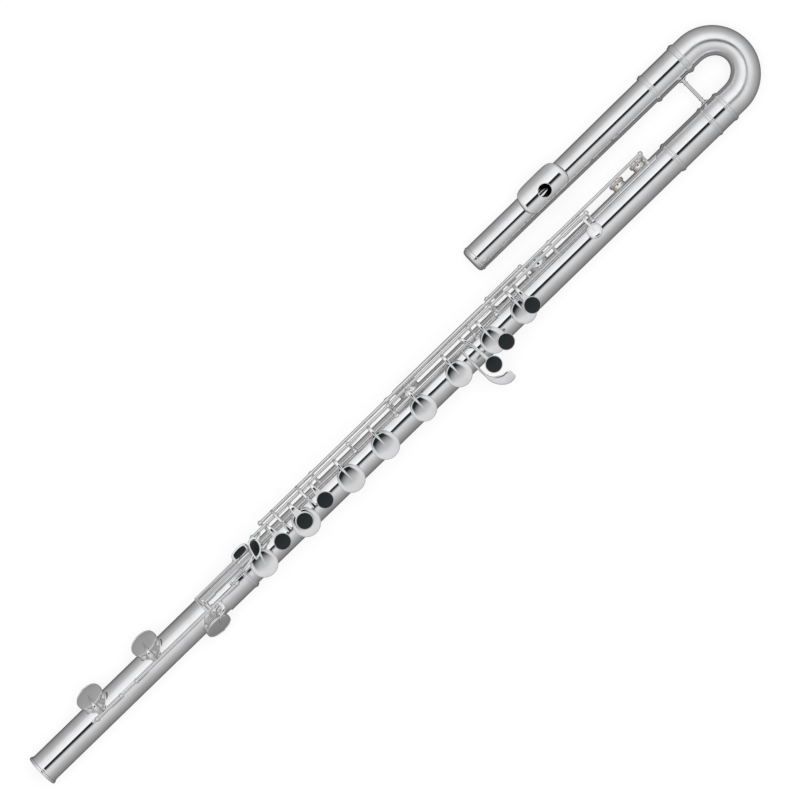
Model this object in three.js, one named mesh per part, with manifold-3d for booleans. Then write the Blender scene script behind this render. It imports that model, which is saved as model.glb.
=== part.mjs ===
// A bass flute lying with its keys up. X runs along the main tube from the foot's open end to the
// bend, Y points from the main tube towards the head joint, Z is up. Lengths are in millimetres.
import * as THREE from "three";
import { mergeVertices } from "three/addons/utils/BufferGeometryUtils.js";
import Module from "manifold-3d";

const wasm = await Module();
wasm.setup();

// Driving sizes of the tubes
const tubeRadius = 16;
const tubeWall = 0.6;
const footLength = 287;
const bodyLength = 591;
const tenonLength = 34;
const legSpacing = 65.5;
const bendReach = 34.3;
const bendApexRadius = 14.4;
const headLength = 285;
const headRadius = 14.8;
const headEndRadius = 13.9;

// Driving sizes of the fittings
const footSocketLength = 38;
const receiverLength = 57;
const collarLength = 21;
const collarToBend = 11;
const legInset = 10;
const tubeSeat = 6;
const headSocketLength = 49;
const headSocketBeyondArc = 9;
const rimFlare = 1.5;
const rimLength = 6;
const sleeveWall = 0.6;
const socketWall = 1;
const headSocketWall = 0.95;
const beadRise = 1;
const beadWidth = 6;
const braceWidth = 4.5;
const braceFromApex = 60;
const crownLength = 7;
const crownRingWidth = 3;
const crownRise = 0.4;
const corkLength = 22;
const corkFromEmbouchure = 26;
const corkPlate = 1;
const screwRadius = 2.5;
const lipPlateLength = 57;
const lipPlateRise = 3;
const lipPlateWall = 0.8;
const riserWall = 1.2;
const embouchureLength = 14;
const embouchureWidth = 13.5;
const embouchureFromCrown = 98;

// Driving sizes of the keywork
const chimneyHeight = 3;
const chimneyWall = 0.5;
const cupDepth = 3.6;
const cupCrown = 0.5;
const cupWall = 0.6;
const padThickness = 2.2;
const padProud = 0.7;
const cupOverhang = 1.3;
const rodRadius = 0.95;
const hingeTubeRadius = 1.75;
const sleeveTubeRadius = 2.5;
const postStemRadius = 1.3;
const postBallRadius = 2.6;
const postBaseRadius = 3;
const ribThickness = 1.2;
const armHalfWidth = 2.3;
const armHalfHeight = 0.8;
const leverHalfWidth = 1.3;
const leverHalfHeight = 0.9;
const buttonRadius = 8.8;
const buttonDepth = 2.4;
const buttonLip = 0.6;
const inlayDepth = 1.2;
const touchDepth = 2;
const forkHalfWidth = 6;
const rollerRadius = 2.2;
const rollerPinRadius = 0.8;
const rollerEar = 1.2;
const stackHingeRise = 14;
const trillHingeRise = 14.8;
const thumbHingeRise = 13.1;
const gSharpHingeRise = 4.9;
const footHingeRise = 5.6;

// Clearances and cuts
const gap = 0.3;
const overrun = 2;

// Angles round the main tube, from straight up towards the head joint
const stackHingeAngle = 43.5;
const trillHingeAngle = 56;
const thumbHingeAngle = 74;
const gSharpHingeAngle = 33;
const footHingeAngle = -4;
const stackHoleAngle = -17;
const smallHoleAngle = 6;
const thumbHoleAngle = 98;
const gSharpHoleAngle = 92;
const trillHoleAngle = 100;
const footHoleAngle = 61;
const eFlatHoleAngle = -62;
const stackOpening = 8;
const footOpening = 10;
const thumbOpening = 8;
const bodyRibAngles = [38.5, 70];
const footRibAngles = [-8, 4];
const lipPlateAngles = [-70, 68];

// Roundness
const tubeSides = 20;
const holeSides = 12;
const rodSides = 8;
const hubSides = 6;
const barSides = 6;
const bendSteps = 12;
const bendSides = 18;
const lipSteps = 8;
const lipSides = 8;
const weld = 1e-4;

// Places along the foot joint and the body joint, as shares of their lengths
const footShares = {
  firstPost: 0.2735, lowCArm: 0.2962, lowC: 0.3049, secondPost: 0.3885, thirdPost: 0.4634,
  lowCSharpArm: 0.5592, lowCSharp: 0.5697, eFlat: 0.7979, lowCSharpCross: 0.8084,
  lowCCross: 0.8215, fourthPost: 0.8345, eFlatArm: 0.8571, eFlatCross: 0.9303, endPost: 0.9477,
  ribStart: 0.25, ribEnd: 0.8606,
};
const bodyShares = {
  ribStart: 0.031, ribEnd: 0.985,
  d: 0.0313, dArm: 0.0592, dButton: 0.0795, e: 0.1303, f: 0.236, fButton: 0.1794,
  fSharp: 0.3164, g: 0.4061, gUpper: 0.489, gLong: 0.5313, gButton: 0.5423, a: 0.5702,
  aButton: 0.5838, bFlat: 0.6413, cArm: 0.6574, c: 0.8206, cThickStart: 0.7750,
  gSharp: 0.4095, gSharpLever: 0.5186, thumbB: 0.7157, thumbBArm: 0.6752,
  dTrill: 0.9052, dSharpTrill: 0.9526, dTrillTouch: 0.1597, dSharpTrillTouch: 0.1015,
  sleeveStart: 0.3871, sleeveEnd: 0.5989,
};
const stackPostShares = [0.0474, 0.1019, 0.1599, 0.2724, 0.3655, 0.5541, 0.6041, 0.8308];
const bFlatEndShare = 0.6523;
const trillPostShares = [0.0736, 0.1929, 0.3706, 0.6091, 0.7513, 0.9662];
const gSharpPostShares = [0.3655, 0.5541];
const thumbPostShares = [0.6108, 0.6887];
const thumbSplitShare = 0.6497;
// Radii of the cups, as shares of the tube's radius
const cupShares = {
  lowC: 0.919, lowCSharp: 0.919, eFlat: 0.891, d: 0.875, e: 0.906, f: 0.875, fSharp: 0.8875,
  g: 0.825, gUpper: 0.831, a: 0.831, bFlat: 0.8125, c: 0.49, gSharp: 0.8125, thumbB: 0.75,
  dTrill: 0.53, dSharpTrill: 0.53,
};
// How far along the way from hinge to cup an arm bends, and how far up towards the cup's top
const armBendShares = [[0.95, 0.7], [0.75, 1.04], [-0.08, 1]];
const sideArmBendShares = [[1, 0.47], [0.84, 0.915], [-0.08, 1]];
const armTipShare = 0.45;
// Places of the finger touches beside the row of cups: across and out, as shares of the tube's radius
const nearButtonShares = [0.22, 1.345];
const farButtonShares = [-1.06, 1.31];
const raisedButtonShares = [0, 1.76];
const eButtonAcrossShare = 0.19;
const aButtonAcrossShare = -0.56;
// Levers over the foot socket. Across and up are shares of the tube's radius, along of the foot's length.
const lowCBarShares = [0.75, 1.31];
const lowCLeverShares = [
  [0.8215, lowCBarShares, 1], [0.91, lowCBarShares, 1], [0.996, lowCBarShares, 1],
];
const rollerShares = [0.9965, 1.0592];
const lowCSharpBarShares = [1.02, 1.31];
const lowCSharpLeverShares = [
  [0.8014, lowCSharpBarShares, 1], [0.91, lowCSharpBarShares, 1], [1.02, lowCSharpBarShares, 1.2],
];
const lowCSharpTouchShares = [
  [0.9965, 0.98], [1.005, 0.95], [1.0523, 0.95], [1.0662, 1.05], [1.0662, 1.38], [1.0523, 1.5],
  [1.02, 1.5], [1.005, 1.45], [0.9965, 1.3],
];
const eFlatLeverShares = [
  [0.926, [0.219, 1.34], 1], [0.955, [0.219, 1.42], 1], [1.0105, [0.25, 1.97], 1],
  [1.045, [0.35, 2.1], 1.2], [1.075, [0.5, 2.12], 2],
];
const eFlatTouchRiseShare = 2.08;
const eFlatTouchShares = [
  [1.0557, 0.125], [1.0662, 0.125], [1.0836, 0.25], [1.101, 0.5625], [1.108, 1.0625],
  [1.101, 1.3125], [1.0801, 1.3125], [1.0697, 1.125], [1.0557, 0.3],
];
const wellShare = 0.86;
const inlayShare = 0.8;
// Levers of the body: along, across and up as shares of the tube's radius, width of a lever's width
const gSharpLeverShares = [
  [0, 0.125, 1.35, 1], [0, -0.75, 1.31, 1], [0.03, -1.56, 0.94, 1], [0.156, -2.06, 0.78, 1.7],
  [0.44, -2.4, 0.72, 2.8], [0.78, -2.62, 0.7, 3.8], [1.16, -2.69, 0.69, 4.3], [1.375, -2.7, 0.69, 2.6],
];
const trillTouchShares = [
  [0, 1.66, 1.45, 1.1], [0, 1.32, 1.72, 1.1], [0, 0.7, 1.8, 1.2], [0, 0.4, 1.8, 1.45],
  [0, -0.1, 1.77, 1.45],
];
const thumbArmShares = [
  [0.06, 1.72, 0.39, 1.2], [0.31, 1.56, 0.06, 1.2], [1, 1.45, -0.15, 1.2], [1.5, 1.44, -0.2, 0.8],
];
const thumbTouchShares = [[0, 1.7, 0.05, 3], [0, 1.55, -0.45, 4.6], [0, 1.22, -0.85, 4.6]];
// The head tube's taper, the lip plate and the crown
const headTaperShares = [0.26, 0.72];
const lipEndShare = 0.3;
const lipRiseLimitShare = 1.8;
const crownFaceShare = 0.66;
const crownEdgeShare = 0.8;

const bodyEnd = footLength + bodyLength;
const boreRadius = tubeRadius - tubeWall;
const rimLevel = tubeRadius + chimneyHeight;
const cupLevel = rimLevel + gap;
const cupTop = cupLevel + cupDepth;
const sleeveInner = tubeRadius + gap;
const ribInner = tubeRadius + gap;
const ribOuter = ribInner + ribThickness;
const hingeBore = rodRadius + gap;
const collarStart = bodyEnd + receiverLength;
const arcStart = collarStart + collarLength + collarToBend;
const headSocketEnd = arcStart - headSocketBeyondArc;
const headEnd = headSocketEnd - beadWidth - gap;
const crownStart = headEnd - headLength;
const embouchureAt = crownStart + embouchureFromCrown;

const onFoot = (share) => share * footLength;
const onBody = (share) => footLength + share * bodyLength;
const radians = THREE.MathUtils.degToRad;
const vector = (x, y, z) => new THREE.Vector3(x, y, z);

const silver = new THREE.MeshStandardMaterial({ color: 0xd4d5d6, roughness: 0.18, metalness: 1 });
const steel = new THREE.MeshStandardMaterial({ color: 0x9a9da1, roughness: 0.3, metalness: 1 });
const black = new THREE.MeshStandardMaterial({ color: 0x15191b, roughness: 0.25, metalness: 0 });
const skin = new THREE.MeshStandardMaterial({ color: 0xe6d9b4, roughness: 0.6, metalness: 0 });
const cork = new THREE.MeshStandardMaterial({ color: 0xa9824f, roughness: 0.85, metalness: 0 });

// Solids and meshes

function solid(geometry) {
  const loose = geometry.index ? geometry.toNonIndexed() : geometry;
  const bare = new THREE.BufferGeometry();
  bare.setAttribute("position", loose.getAttribute("position"));
  const welded = mergeVertices(bare, weld);
  return new wasm.Manifold(new wasm.Mesh({
    numProp: 3,
    vertProperties: welded.attributes.position.array,
    triVerts: new Uint32Array(welded.index.array),
  }));
}

function join(...geometries) {
  return geometries.map(solid).reduce((whole, piece) => whole.add(piece));
}

function cut(whole, ...geometries) {
  return geometries.map(solid).reduce((rest, piece) => rest.subtract(piece), whole);
}

function geometryOf(manifold) {
  const made = manifold.getMesh();
  const geometry = new THREE.BufferGeometry();
  geometry.setAttribute("position", new THREE.BufferAttribute(made.vertProperties, made.numProp));
  geometry.setIndex(new THREE.BufferAttribute(made.triVerts, 1));
  return geometry;
}

function addMesh(group, name, manifold, material) {
  const mesh = new THREE.Mesh(geometryOf(manifold), material);
  mesh.name = name;
  group.add(mesh);
  return mesh;
}

// Basic forms

// A body of revolution round X: the profile's points are [place along X, radius].
function turned(profile, sides = tubeSides) {
  const points = profile.map(([along, radius]) => new THREE.Vector2(radius, along));
  const geometry = new THREE.LatheGeometry(points, sides);
  return geometry.rotateZ(-Math.PI / 2);
}

function bar(from, to, radius, sides = rodSides) {
  return turned([[from, 0], [from, radius], [to, radius], [to, 0]], sides);
}

function sleeve(from, to, inner, outerRadius, sides = tubeSides) {
  const profile = [[from, inner], [from, outerRadius], [to, outerRadius], [to, inner]];
  return turned([...profile, profile[0]], sides);
}

// Moves a form made round the X axis so that it lies round a hinge line.
function roundHinge(hinge, geometry) {
  return geometry.translate(0, hinge.y, hinge.z);
}

// The frame of a place on the main tube: X along the tube, Z straight out at the given angle.
function outward(x, degrees) {
  return new THREE.Matrix4().makeRotationX(-radians(degrees)).setPosition(x, 0, 0);
}

// A body of revolution round the outward line of a place: points are [radius, level].
function boss(frame, profile, sides = holeSides) {
  const points = profile.map(([radius, level]) => new THREE.Vector2(radius, level));
  return new THREE.LatheGeometry(points, sides).rotateX(Math.PI / 2).applyMatrix4(frame);
}

function disc(frame, radius, low, high, sides = holeSides) {
  return boss(frame, [[0, low], [radius, low], [radius, high], [0, high]], sides);
}

function hingeLine(rise, degrees) {
  const reach = tubeRadius + rise;
  return {
    reach,
    degrees,
    y: reach * Math.sin(radians(degrees)),
    z: reach * Math.cos(radians(degrees)),
  };
}

// A tapering bar with a six-sided section along a smooth path. A station is [point, half width].
function lever(stations, halfHeight, across, steps = 2) {
  const curve = new THREE.CatmullRomCurve3(stations.map(([point]) => point), false, "centripetal");
  const count = steps * (stations.length - 1);
  const rings = [];
  for (let i = 0; i <= count; i++) {
    const t = i / count;
    const k = Math.min(Math.floor(t * (stations.length - 1)), stations.length - 2);
    const part = t * (stations.length - 1) - k;
    const halfWidth = THREE.MathUtils.lerp(stations[k][1], stations[k + 1][1], part);
    rings.push(ring(curve.getPoint(t), curve.getTangent(t), across, halfWidth, halfHeight));
  }
  return loft(rings);
}

function ring(centre, tangent, across, halfWidth, halfHeight) {
  const guide = across ?? tangent.clone().cross(vector(0, 0, 1));
  const side = guide.clone().addScaledVector(tangent, -guide.dot(tangent)).normalize();
  const rise = side.clone().cross(tangent).negate();
  const points = [];
  for (let i = 0; i < barSides; i++) {
    const turn = (i / barSides) * 2 * Math.PI;
    const stretch = 1 / Math.cos(Math.PI / barSides);
    points.push(centre.clone()
      .addScaledVector(side, Math.cos(turn) * halfWidth)
      .addScaledVector(rise, Math.sin(turn) * halfHeight * stretch));
  }
  return points;
}

// Joins rings of points, each with the same count, into one closed body.
function loft(rings) {
  const count = rings[0].length;
  const positions = rings.flat().flatMap((p) => [p.x, p.y, p.z]);
  const faces = [];
  for (let i = 0; i + 1 < rings.length; i++) {
    for (let j = 0; j < count; j++) {
      const [a, b] = [i * count + j, i * count + ((j + 1) % count)];
      faces.push(a, b, a + count, b, b + count, a + count);
    }
  }
  const last = (rings.length - 1) * count;
  for (let j = 1; j + 1 < count; j++) {
    faces.push(0, j + 1, j, last, last + j, last + j + 1);
  }
  const geometry = new THREE.BufferGeometry();
  geometry.setAttribute("position", new THREE.Float32BufferAttribute(positions, 3));
  geometry.setIndex(faces);
  return turnedOut(geometry);
}

// Turns a closed form's faces outwards.
function turnedOut(geometry) {
  if (solid(geometry).volume() > 0) return geometry;
  const index = Array.from(geometry.index.array);
  for (let i = 0; i < index.length; i += 3) {
    [index[i + 1], index[i + 2]] = [index[i + 2], index[i + 1]];
  }
  return geometry.setIndex(index);
}

// Tubes

// A tone hole's drawn rim, before the bore is cut.
function chimney({ x, degrees, cup }) {
  return disc(outward(x, degrees), cup - cupOverhang, boreRadius / 2, rimLevel);
}

function holeCut({ x, degrees, cup }) {
  return disc(outward(x, degrees), cup - cupOverhang - chimneyWall, 0, rimLevel + overrun);
}

function drilledTube(profile, from, to, holes) {
  const whole = join(turned(profile), ...holes.map(chimney));
  return cut(whole, bar(from - overrun, to + overrun, boreRadius, tubeSides), ...holes.map(holeCut));
}

function bead(at, radius, width) {
  return [[at, radius], [at + width / 2, radius + beadRise], [at + width, radius]];
}

// A sleeve with a rounded bead at one or both of its ends.
function beadedSleeve(from, to, inner, radius, beads) {
  const profile = [[from, inner], [from, radius]];
  beads.forEach((at) => profile.push(...bead(at, radius, beadWidth)));
  profile.push([to, radius], [to, inner], [from, inner]);
  return turned(profile.filter((point, i) => i === 0 || !samePoint(point, profile[i - 1])));
}

function samePoint(a, b) {
  return Math.abs(a[0] - b[0]) < weld && Math.abs(a[1] - b[1]) < weld;
}

function hole(name, x, degrees) {
  return { x, degrees, cup: cupShares[name] * tubeRadius };
}

const holes = {
  lowC: hole("lowC", onFoot(footShares.lowC), footHoleAngle),
  lowCSharp: hole("lowCSharp", onFoot(footShares.lowCSharp), footHoleAngle),
  eFlat: hole("eFlat", onFoot(footShares.eFlat), eFlatHoleAngle),
  d: hole("d", onBody(bodyShares.d), stackHoleAngle),
  e: hole("e", onBody(bodyShares.e), stackHoleAngle),
  f: hole("f", onBody(bodyShares.f), stackHoleAngle),
  fSharp: hole("fSharp", onBody(bodyShares.fSharp), stackHoleAngle),
  g: hole("g", onBody(bodyShares.g), stackHoleAngle),
  gUpper: hole("gUpper", onBody(bodyShares.gUpper), stackHoleAngle),
  a: hole("a", onBody(bodyShares.a), stackHoleAngle),
  bFlat: hole("bFlat", onBody(bodyShares.bFlat), stackHoleAngle),
  c: hole("c", onBody(bodyShares.c), smallHoleAngle),
  gSharp: hole("gSharp", onBody(bodyShares.gSharp), gSharpHoleAngle),
  thumbB: hole("thumbB", onBody(bodyShares.thumbB), thumbHoleAngle),
  dTrill: hole("dTrill", onBody(bodyShares.dTrill), trillHoleAngle),
  dSharpTrill: hole("dSharpTrill", onBody(bodyShares.dSharpTrill), trillHoleAngle),
};
const footHoles = [holes.lowC, holes.lowCSharp, holes.eFlat];
const bodyHoles = Object.values(holes).filter((each) => !footHoles.includes(each));

const hinges = {
  stack: hingeLine(stackHingeRise, stackHingeAngle),
  trill: hingeLine(trillHingeRise, trillHingeAngle),
  thumb: hingeLine(thumbHingeRise, thumbHingeAngle),
  gSharp: hingeLine(gSharpHingeRise, gSharpHingeAngle),
  foot: hingeLine(footHingeRise, footHingeAngle),
};

// Frame of the keywork

// A strap bent round the tube between two angles.
function rib(from, to, lowDegrees, highDegrees) {
  const [start, end] = [radians(90 - highDegrees), radians(90 - lowDegrees)];
  const shape = new THREE.Shape();
  shape.absarc(0, 0, ribOuter, start, end, false);
  shape.absarc(0, 0, ribInner, end, start, true);
  const depth = to - from;
  const geometry = new THREE.ExtrudeGeometry(shape, { depth, bevelEnabled: false, curveSegments: 2 });
  const basis = new THREE.Matrix4().makeBasis(vector(0, 1, 0), vector(0, 0, 1), vector(1, 0, 0));
  return geometry.applyMatrix4(basis.setPosition(from, 0, 0));
}

// A post stands on its base and carries a bored hub on the hinge line.
function post(x, hinge, bore = hingeBore, level = ribInner + ribThickness / 2) {
  const frame = outward(x, hinge.degrees);
  const top = hinge.reach - (bore + postBallRadius) / 2;
  const stem = boss(frame, [
    [0, level], [postBaseRadius, level], [postStemRadius, level + postBaseRadius / 2],
    [postStemRadius, top], [0, top],
  ], barSides);
  const waist = (bore + postBallRadius) / 2;
  const profile = [[-waist, bore], [-waist, waist], [0, postBallRadius], [waist, waist], [waist, bore]];
  const hub = turned([...profile, profile[0]], hubSides).translate(x, 0, 0);
  return [stem, roundHinge(hinge, hub)];
}

// Keys

// A place over the tube: a way across from the hole's outward line, and a level above the axis.
function over(degrees, x, across, level) {
  return vector(x, across, level).applyMatrix4(outward(0, degrees));
}

// An arm from the hinge tube to a target over the tube. It rises first and then goes across.
function reachingArm(hinge, x, target, tipShare = armTipShare, bendShares = armBendShares) {
  const turn = radians(hinge.degrees - target.degrees);
  const start = { across: hinge.reach * Math.sin(turn), level: hinge.reach * Math.cos(turn) };
  const bends = bendShares.map(([wayShare, riseShare], i) => {
    const at = THREE.MathUtils.lerp(x, target.x, i / (bendShares.length - 1));
    const across = THREE.MathUtils.lerp(target.across, start.across, wayShare);
    const level = THREE.MathUtils.lerp(start.level, target.level, riseShare);
    return [over(target.degrees, at, across, level), armHalfWidth];
  });
  bends[bends.length - 1][1] *= tipShare;
  const stations = [[vector(x, hinge.y, hinge.z), armHalfWidth], ...bends];
  return lever(stations, armHalfHeight, vector(1, 0, 0), 2);
}

function cupArm(hinge, hole, x, offset = 0, bendShares = armBendShares) {
  const target = { x: hole.x + offset, degrees: hole.degrees, across: 0, level: cupTop };
  return reachingArm(hinge, x, target, armTipShare, bendShares);
}

function cup({ x, degrees, cup: radius }) {
  const inner = radius - cupWall;
  return boss(outward(x, degrees), [
    [0, cupLevel + padThickness + gap], [inner, cupLevel + padThickness + gap],
    [inner, cupLevel + padProud], [radius, cupLevel + padProud], [radius, cupTop],
    [0, cupTop + cupCrown],
  ]);
}

function pad({ x, degrees, cup: radius }) {
  return disc(outward(x, degrees), radius - cupWall - gap, cupLevel, cupLevel + padThickness);
}

// A finger button: a shallow dish for its inlay. Its frame's origin is the middle of its base.
function button(frame) {
  const well = buttonRadius - buttonLip;
  return boss(frame, [
    [0, 0], [buttonRadius, 0], [buttonRadius, buttonDepth], [well, buttonDepth],
    [well, buttonDepth - inlayDepth], [0, buttonDepth - inlayDepth],
  ]);
}

function inlay(frame) {
  const radius = buttonRadius - buttonLip - gap;
  const base = buttonDepth - inlayDepth + gap;
  return boss(frame, [
    [0, base], [radius, base], [radius, buttonDepth], [radius / 2, buttonDepth + gap],
    [0, buttonDepth + gap],
  ]);
}

// The frame of a button that lies beside a cup: across is its way from the cup's middle line.
function buttonFrame(x, degrees, across, level) {
  return outward(x, degrees).multiply(new THREE.Matrix4().makeTranslation(0, across, level));
}

// A hinge tube between two places along a hinge line.
function hingeTube(hinge, from, to, radius = hingeTubeRadius) {
  return roundHinge(hinge, bar(from, to, radius));
}

function hingeBoreCut(hinge, from, to, radius = hingeBore) {
  return roundHinge(hinge, bar(from - overrun, to + overrun, radius));
}

// Puts a key, made closed, in a group that turns about its hinge line by the rest opening.
function keyGroup(parent, hinge, degrees) {
  const group = new THREE.Group();
  group.position.set(0, hinge.y, hinge.z);
  group.rotation.x = radians(degrees);
  parent.add(group);
  return group;
}

function addKeyMesh(group, name, manifold, material) {
  const mesh = addMesh(group, name, manifold, material);
  mesh.geometry.translate(0, -group.position.y, -group.position.z);
}

const postGap = (hingeBore + postBallRadius) / 2 + gap;
const flute = new THREE.Group();

// Foot joint

const socketOuter = sleeveInner + socketWall;
const footSocketStart = footLength - footSocketLength;
const footTubeEnd = footLength - tenonLength - gap;

function addFootTubes(group) {
  const profile = [
    [0, 0], [0, tubeRadius + rimFlare], [rimLength / 2, tubeRadius + rimFlare],
    [rimLength, tubeRadius], [footTubeEnd, tubeRadius], [footTubeEnd, 0],
  ];
  addMesh(group, "foot_tube", drilledTube(profile, 0, footTubeEnd, footHoles), silver);
  const socket = beadedSleeve(footSocketStart, footLength, sleeveInner, socketOuter,
    [footLength - beadWidth]);
  const x = onFoot(footShares.endPost);
  const level = socketOuter - gap;
  addMesh(group, "foot_socket", join(socket, ...post(x, hinges.foot, hingeBore, level)), silver);
}

function addFootRib(group) {
  const { firstPost, secondPost, thirdPost, fourthPost, ribStart, ribEnd } = footShares;
  const posts = [firstPost, secondPost, thirdPost, fourthPost].map(onFoot);
  const strap = rib(onFoot(ribStart), footSocketStart - gap, ...footRibAngles);
  addMesh(group, "foot_rib", join(strap, ...posts.flatMap((x) => post(x, hinges.foot))), silver);
}

// The point that a foot lever reaches: shares of the tube's radius across and up.
function footPoint(x, [acrossShare, riseShare]) {
  return vector(x, acrossShare * tubeRadius, riseShare * tubeRadius);
}

function footLever(stationShares) {
  return lever(stationShares.map(([share, place, width]) => [
    footPoint(onFoot(share), place), width * leverHalfWidth,
  ]), leverHalfHeight, vector(0, 1, 0));
}

// A flat touch: its outline's points are shares of the foot's length and of the tube's radius.
function touchOutline(outlineShares, scale = 1) {
  const points = outlineShares.map(([along, across]) => [onFoot(along), across * tubeRadius]);
  const middle = [0, 1].map((i) => points.reduce((sum, p) => sum + p[i], 0) / points.length);
  return points.map((p) => new THREE.Vector2(...p.map((v, i) => middle[i] + scale * (v - middle[i]))));
}

function slab(outline, low, high) {
  const options = { depth: high - low, bevelEnabled: false };
  return new THREE.ExtrudeGeometry(new THREE.Shape(outline), options).translate(0, 0, low);
}

function inlaidTouch(outlineShares, base) {
  const top = base + touchDepth;
  return {
    plate: slab(touchOutline(outlineShares), base, top),
    well: slab(touchOutline(outlineShares, wellShare), top - inlayDepth, top + overrun),
    inlay: slab(touchOutline(outlineShares, inlayShare), top - inlayDepth + gap, top + gap),
  };
}

function addLowC(parent) {
  const hinge = hinges.foot;
  const [start, end] = [footShares.firstPost, footShares.endPost].map(onFoot);
  const group = keyGroup(parent, hinge, footOpening);
  const cross = onFoot(footShares.lowCCross);
  const pin = rollerPin();
  const whole = join(
    roundHinge(hinge, bar(start - overrun, end + overrun, rodRadius)),
    hingeTube(hinge, start + postGap, onFoot(footShares.secondPost) - postGap),
    hingeTube(hinge, cross - leverHalfWidth, cross + leverHalfWidth),
    cupArm(hinge, holes.lowC, onFoot(footShares.lowCArm)), cup(holes.lowC),
    lever([[hingePoint(hinge, cross), leverHalfWidth], [footPoint(cross, lowCBarShares), leverHalfWidth]],
      leverHalfHeight, vector(1, 0, 0)),
    footLever(lowCLeverShares), ...pin.ears, pin.pin,
  );
  addKeyMesh(group, "low_c_key", whole, silver);
  addKeyMesh(group, "low_c_pad", solid(pad(holes.lowC)), skin);
  addKeyMesh(group, "low_c_roller", solid(pin.roller), silver);
}

// The roller at the end of the low C lever turns on a pin between two ears.
function rollerPin() {
  const [from, to] = rollerShares.map(onFoot);
  const centre = footPoint(from, lowCBarShares);
  const line = { y: centre.y, z: centre.z };
  const ear = (x) => roundHinge(line, bar(x - rollerEar, x, leverHalfWidth));
  return {
    ears: [ear(from), ear(to + rollerEar)],
    pin: roundHinge(line, bar(from - rollerEar / 2, to + rollerEar / 2, rollerPinRadius)),
    roller: roundHinge(line, sleeve(from + gap, to - gap, rollerPinRadius + gap, rollerRadius, rodSides)),
  };
}

function addLowCSharp(parent) {
  const hinge = hinges.foot;
  const cross = onFoot(footShares.lowCSharpCross);
  const [start, end] = [onFoot(footShares.thirdPost) + postGap, cross + leverHalfWidth];
  const group = keyGroup(parent, hinge, footOpening);
  const touch = inlaidTouch(lowCSharpTouchShares, footPoint(cross, lowCSharpBarShares).z);
  const whole = join(
    hingeTube(hinge, start, end), cupArm(hinge, holes.lowCSharp, onFoot(footShares.lowCSharpArm)),
    cup(holes.lowCSharp),
    lever([[hingePoint(hinge, cross), leverHalfWidth],
      [footPoint(cross, lowCSharpBarShares), leverHalfWidth]], leverHalfHeight, vector(1, 0, 0)),
    footLever(lowCSharpLeverShares), touch.plate,
  );
  const bored = cut(whole, hingeBoreCut(hinge, start, end), touch.well);
  addKeyMesh(group, "low_c_sharp_key", bored, silver);
  addKeyMesh(group, "low_c_sharp_pad", solid(pad(holes.lowCSharp)), skin);
  addKeyMesh(group, "low_c_sharp_inlay", solid(touch.inlay), black);
}

function addEFlat(parent) {
  const hinge = hinges.foot;
  const [start, end] = [onFoot(footShares.fourthPost) + postGap, onFoot(footShares.endPost) - postGap];
  const group = keyGroup(parent, hinge, 0);
  const cross = onFoot(footShares.eFlatCross);
  const touch = inlaidTouch(eFlatTouchShares, eFlatTouchRiseShare * tubeRadius);
  const whole = join(
    hingeTube(hinge, start, end), cupArm(hinge, holes.eFlat, onFoot(footShares.eFlatArm)),
    cup(holes.eFlat),
    lever([[hingePoint(hinge, cross), leverHalfWidth],
      [footPoint(cross, eFlatLeverShares[0][1]), leverHalfWidth]], leverHalfHeight, vector(1, 0, 0)),
    footLever(eFlatLeverShares), touch.plate,
  );
  addKeyMesh(group, "e_flat_key", cut(whole, hingeBoreCut(hinge, start, end), touch.well), silver);
  addKeyMesh(group, "e_flat_pad", solid(pad(holes.eFlat)), skin);
  addKeyMesh(group, "e_flat_inlay", solid(touch.inlay), black);
}

function addFootJoint(parent) {
  const group = new THREE.Group();
  parent.add(group);
  addFootTubes(group);
  addFootRib(group);
  addLowC(group);
  addLowCSharp(group);
  addEFlat(group);
}

// Body joint

function addBodyTubes(group) {
  const [from, to] = [footLength - tenonLength, bodyEnd + tubeSeat];
  const profile = [[from, 0], [from, tubeRadius], [to, tubeRadius], [to, 0]];
  addMesh(group, "body_tube", drilledTube(profile, from, to, bodyHoles), silver);
  const end = bodyEnd + receiverLength;
  const receiver = beadedSleeve(bodyEnd, end, sleeveInner, sleeveInner + sleeveWall,
    [bodyEnd, end - beadWidth]);
  addMesh(group, "body_receiver", solid(receiver), silver);
}

function addBodyRib(group) {
  const strap = rib(onBody(bodyShares.ribStart), onBody(bodyShares.ribEnd), ...bodyRibAngles);
  const stacks = stackPostShares.map(onBody);
  const trills = trillPostShares.map(onBody);
  const thumbs = thumbPostShares.map(onBody);
  const gSharps = gSharpPostShares.map(onBody);
  const sleeved = hingeTubeRadius + gap;
  const isEnd = (i) => i === 0 || i === trills.length - 1;
  const posts = [
    ...stacks.flatMap((x) => post(x, hinges.stack)),
    ...thumbs.flatMap((x) => post(x, hinges.thumb, hingeBore, ribInner)),
    ...gSharps.flatMap((x) => post(x, hinges.gSharp, hingeBore, ribInner)),
    ...trills.flatMap((x, i) => post(x, hinges.trill, isEnd(i) ? hingeBore : sleeved)),
  ];
  const room = [holes.gSharp, holes.thumbB, holes.dTrill, holes.dSharpTrill].map(ribRoom);
  addMesh(group, "body_rib", cut(solid(strap), ...room).add(join(...posts)), silver);
}

// The room that the strap leaves round a tone hole.
function ribRoom({ x, degrees, cup: radius }) {
  return disc(outward(x, degrees), radius - cupOverhang + gap, 0, rimLevel + overrun);
}

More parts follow.
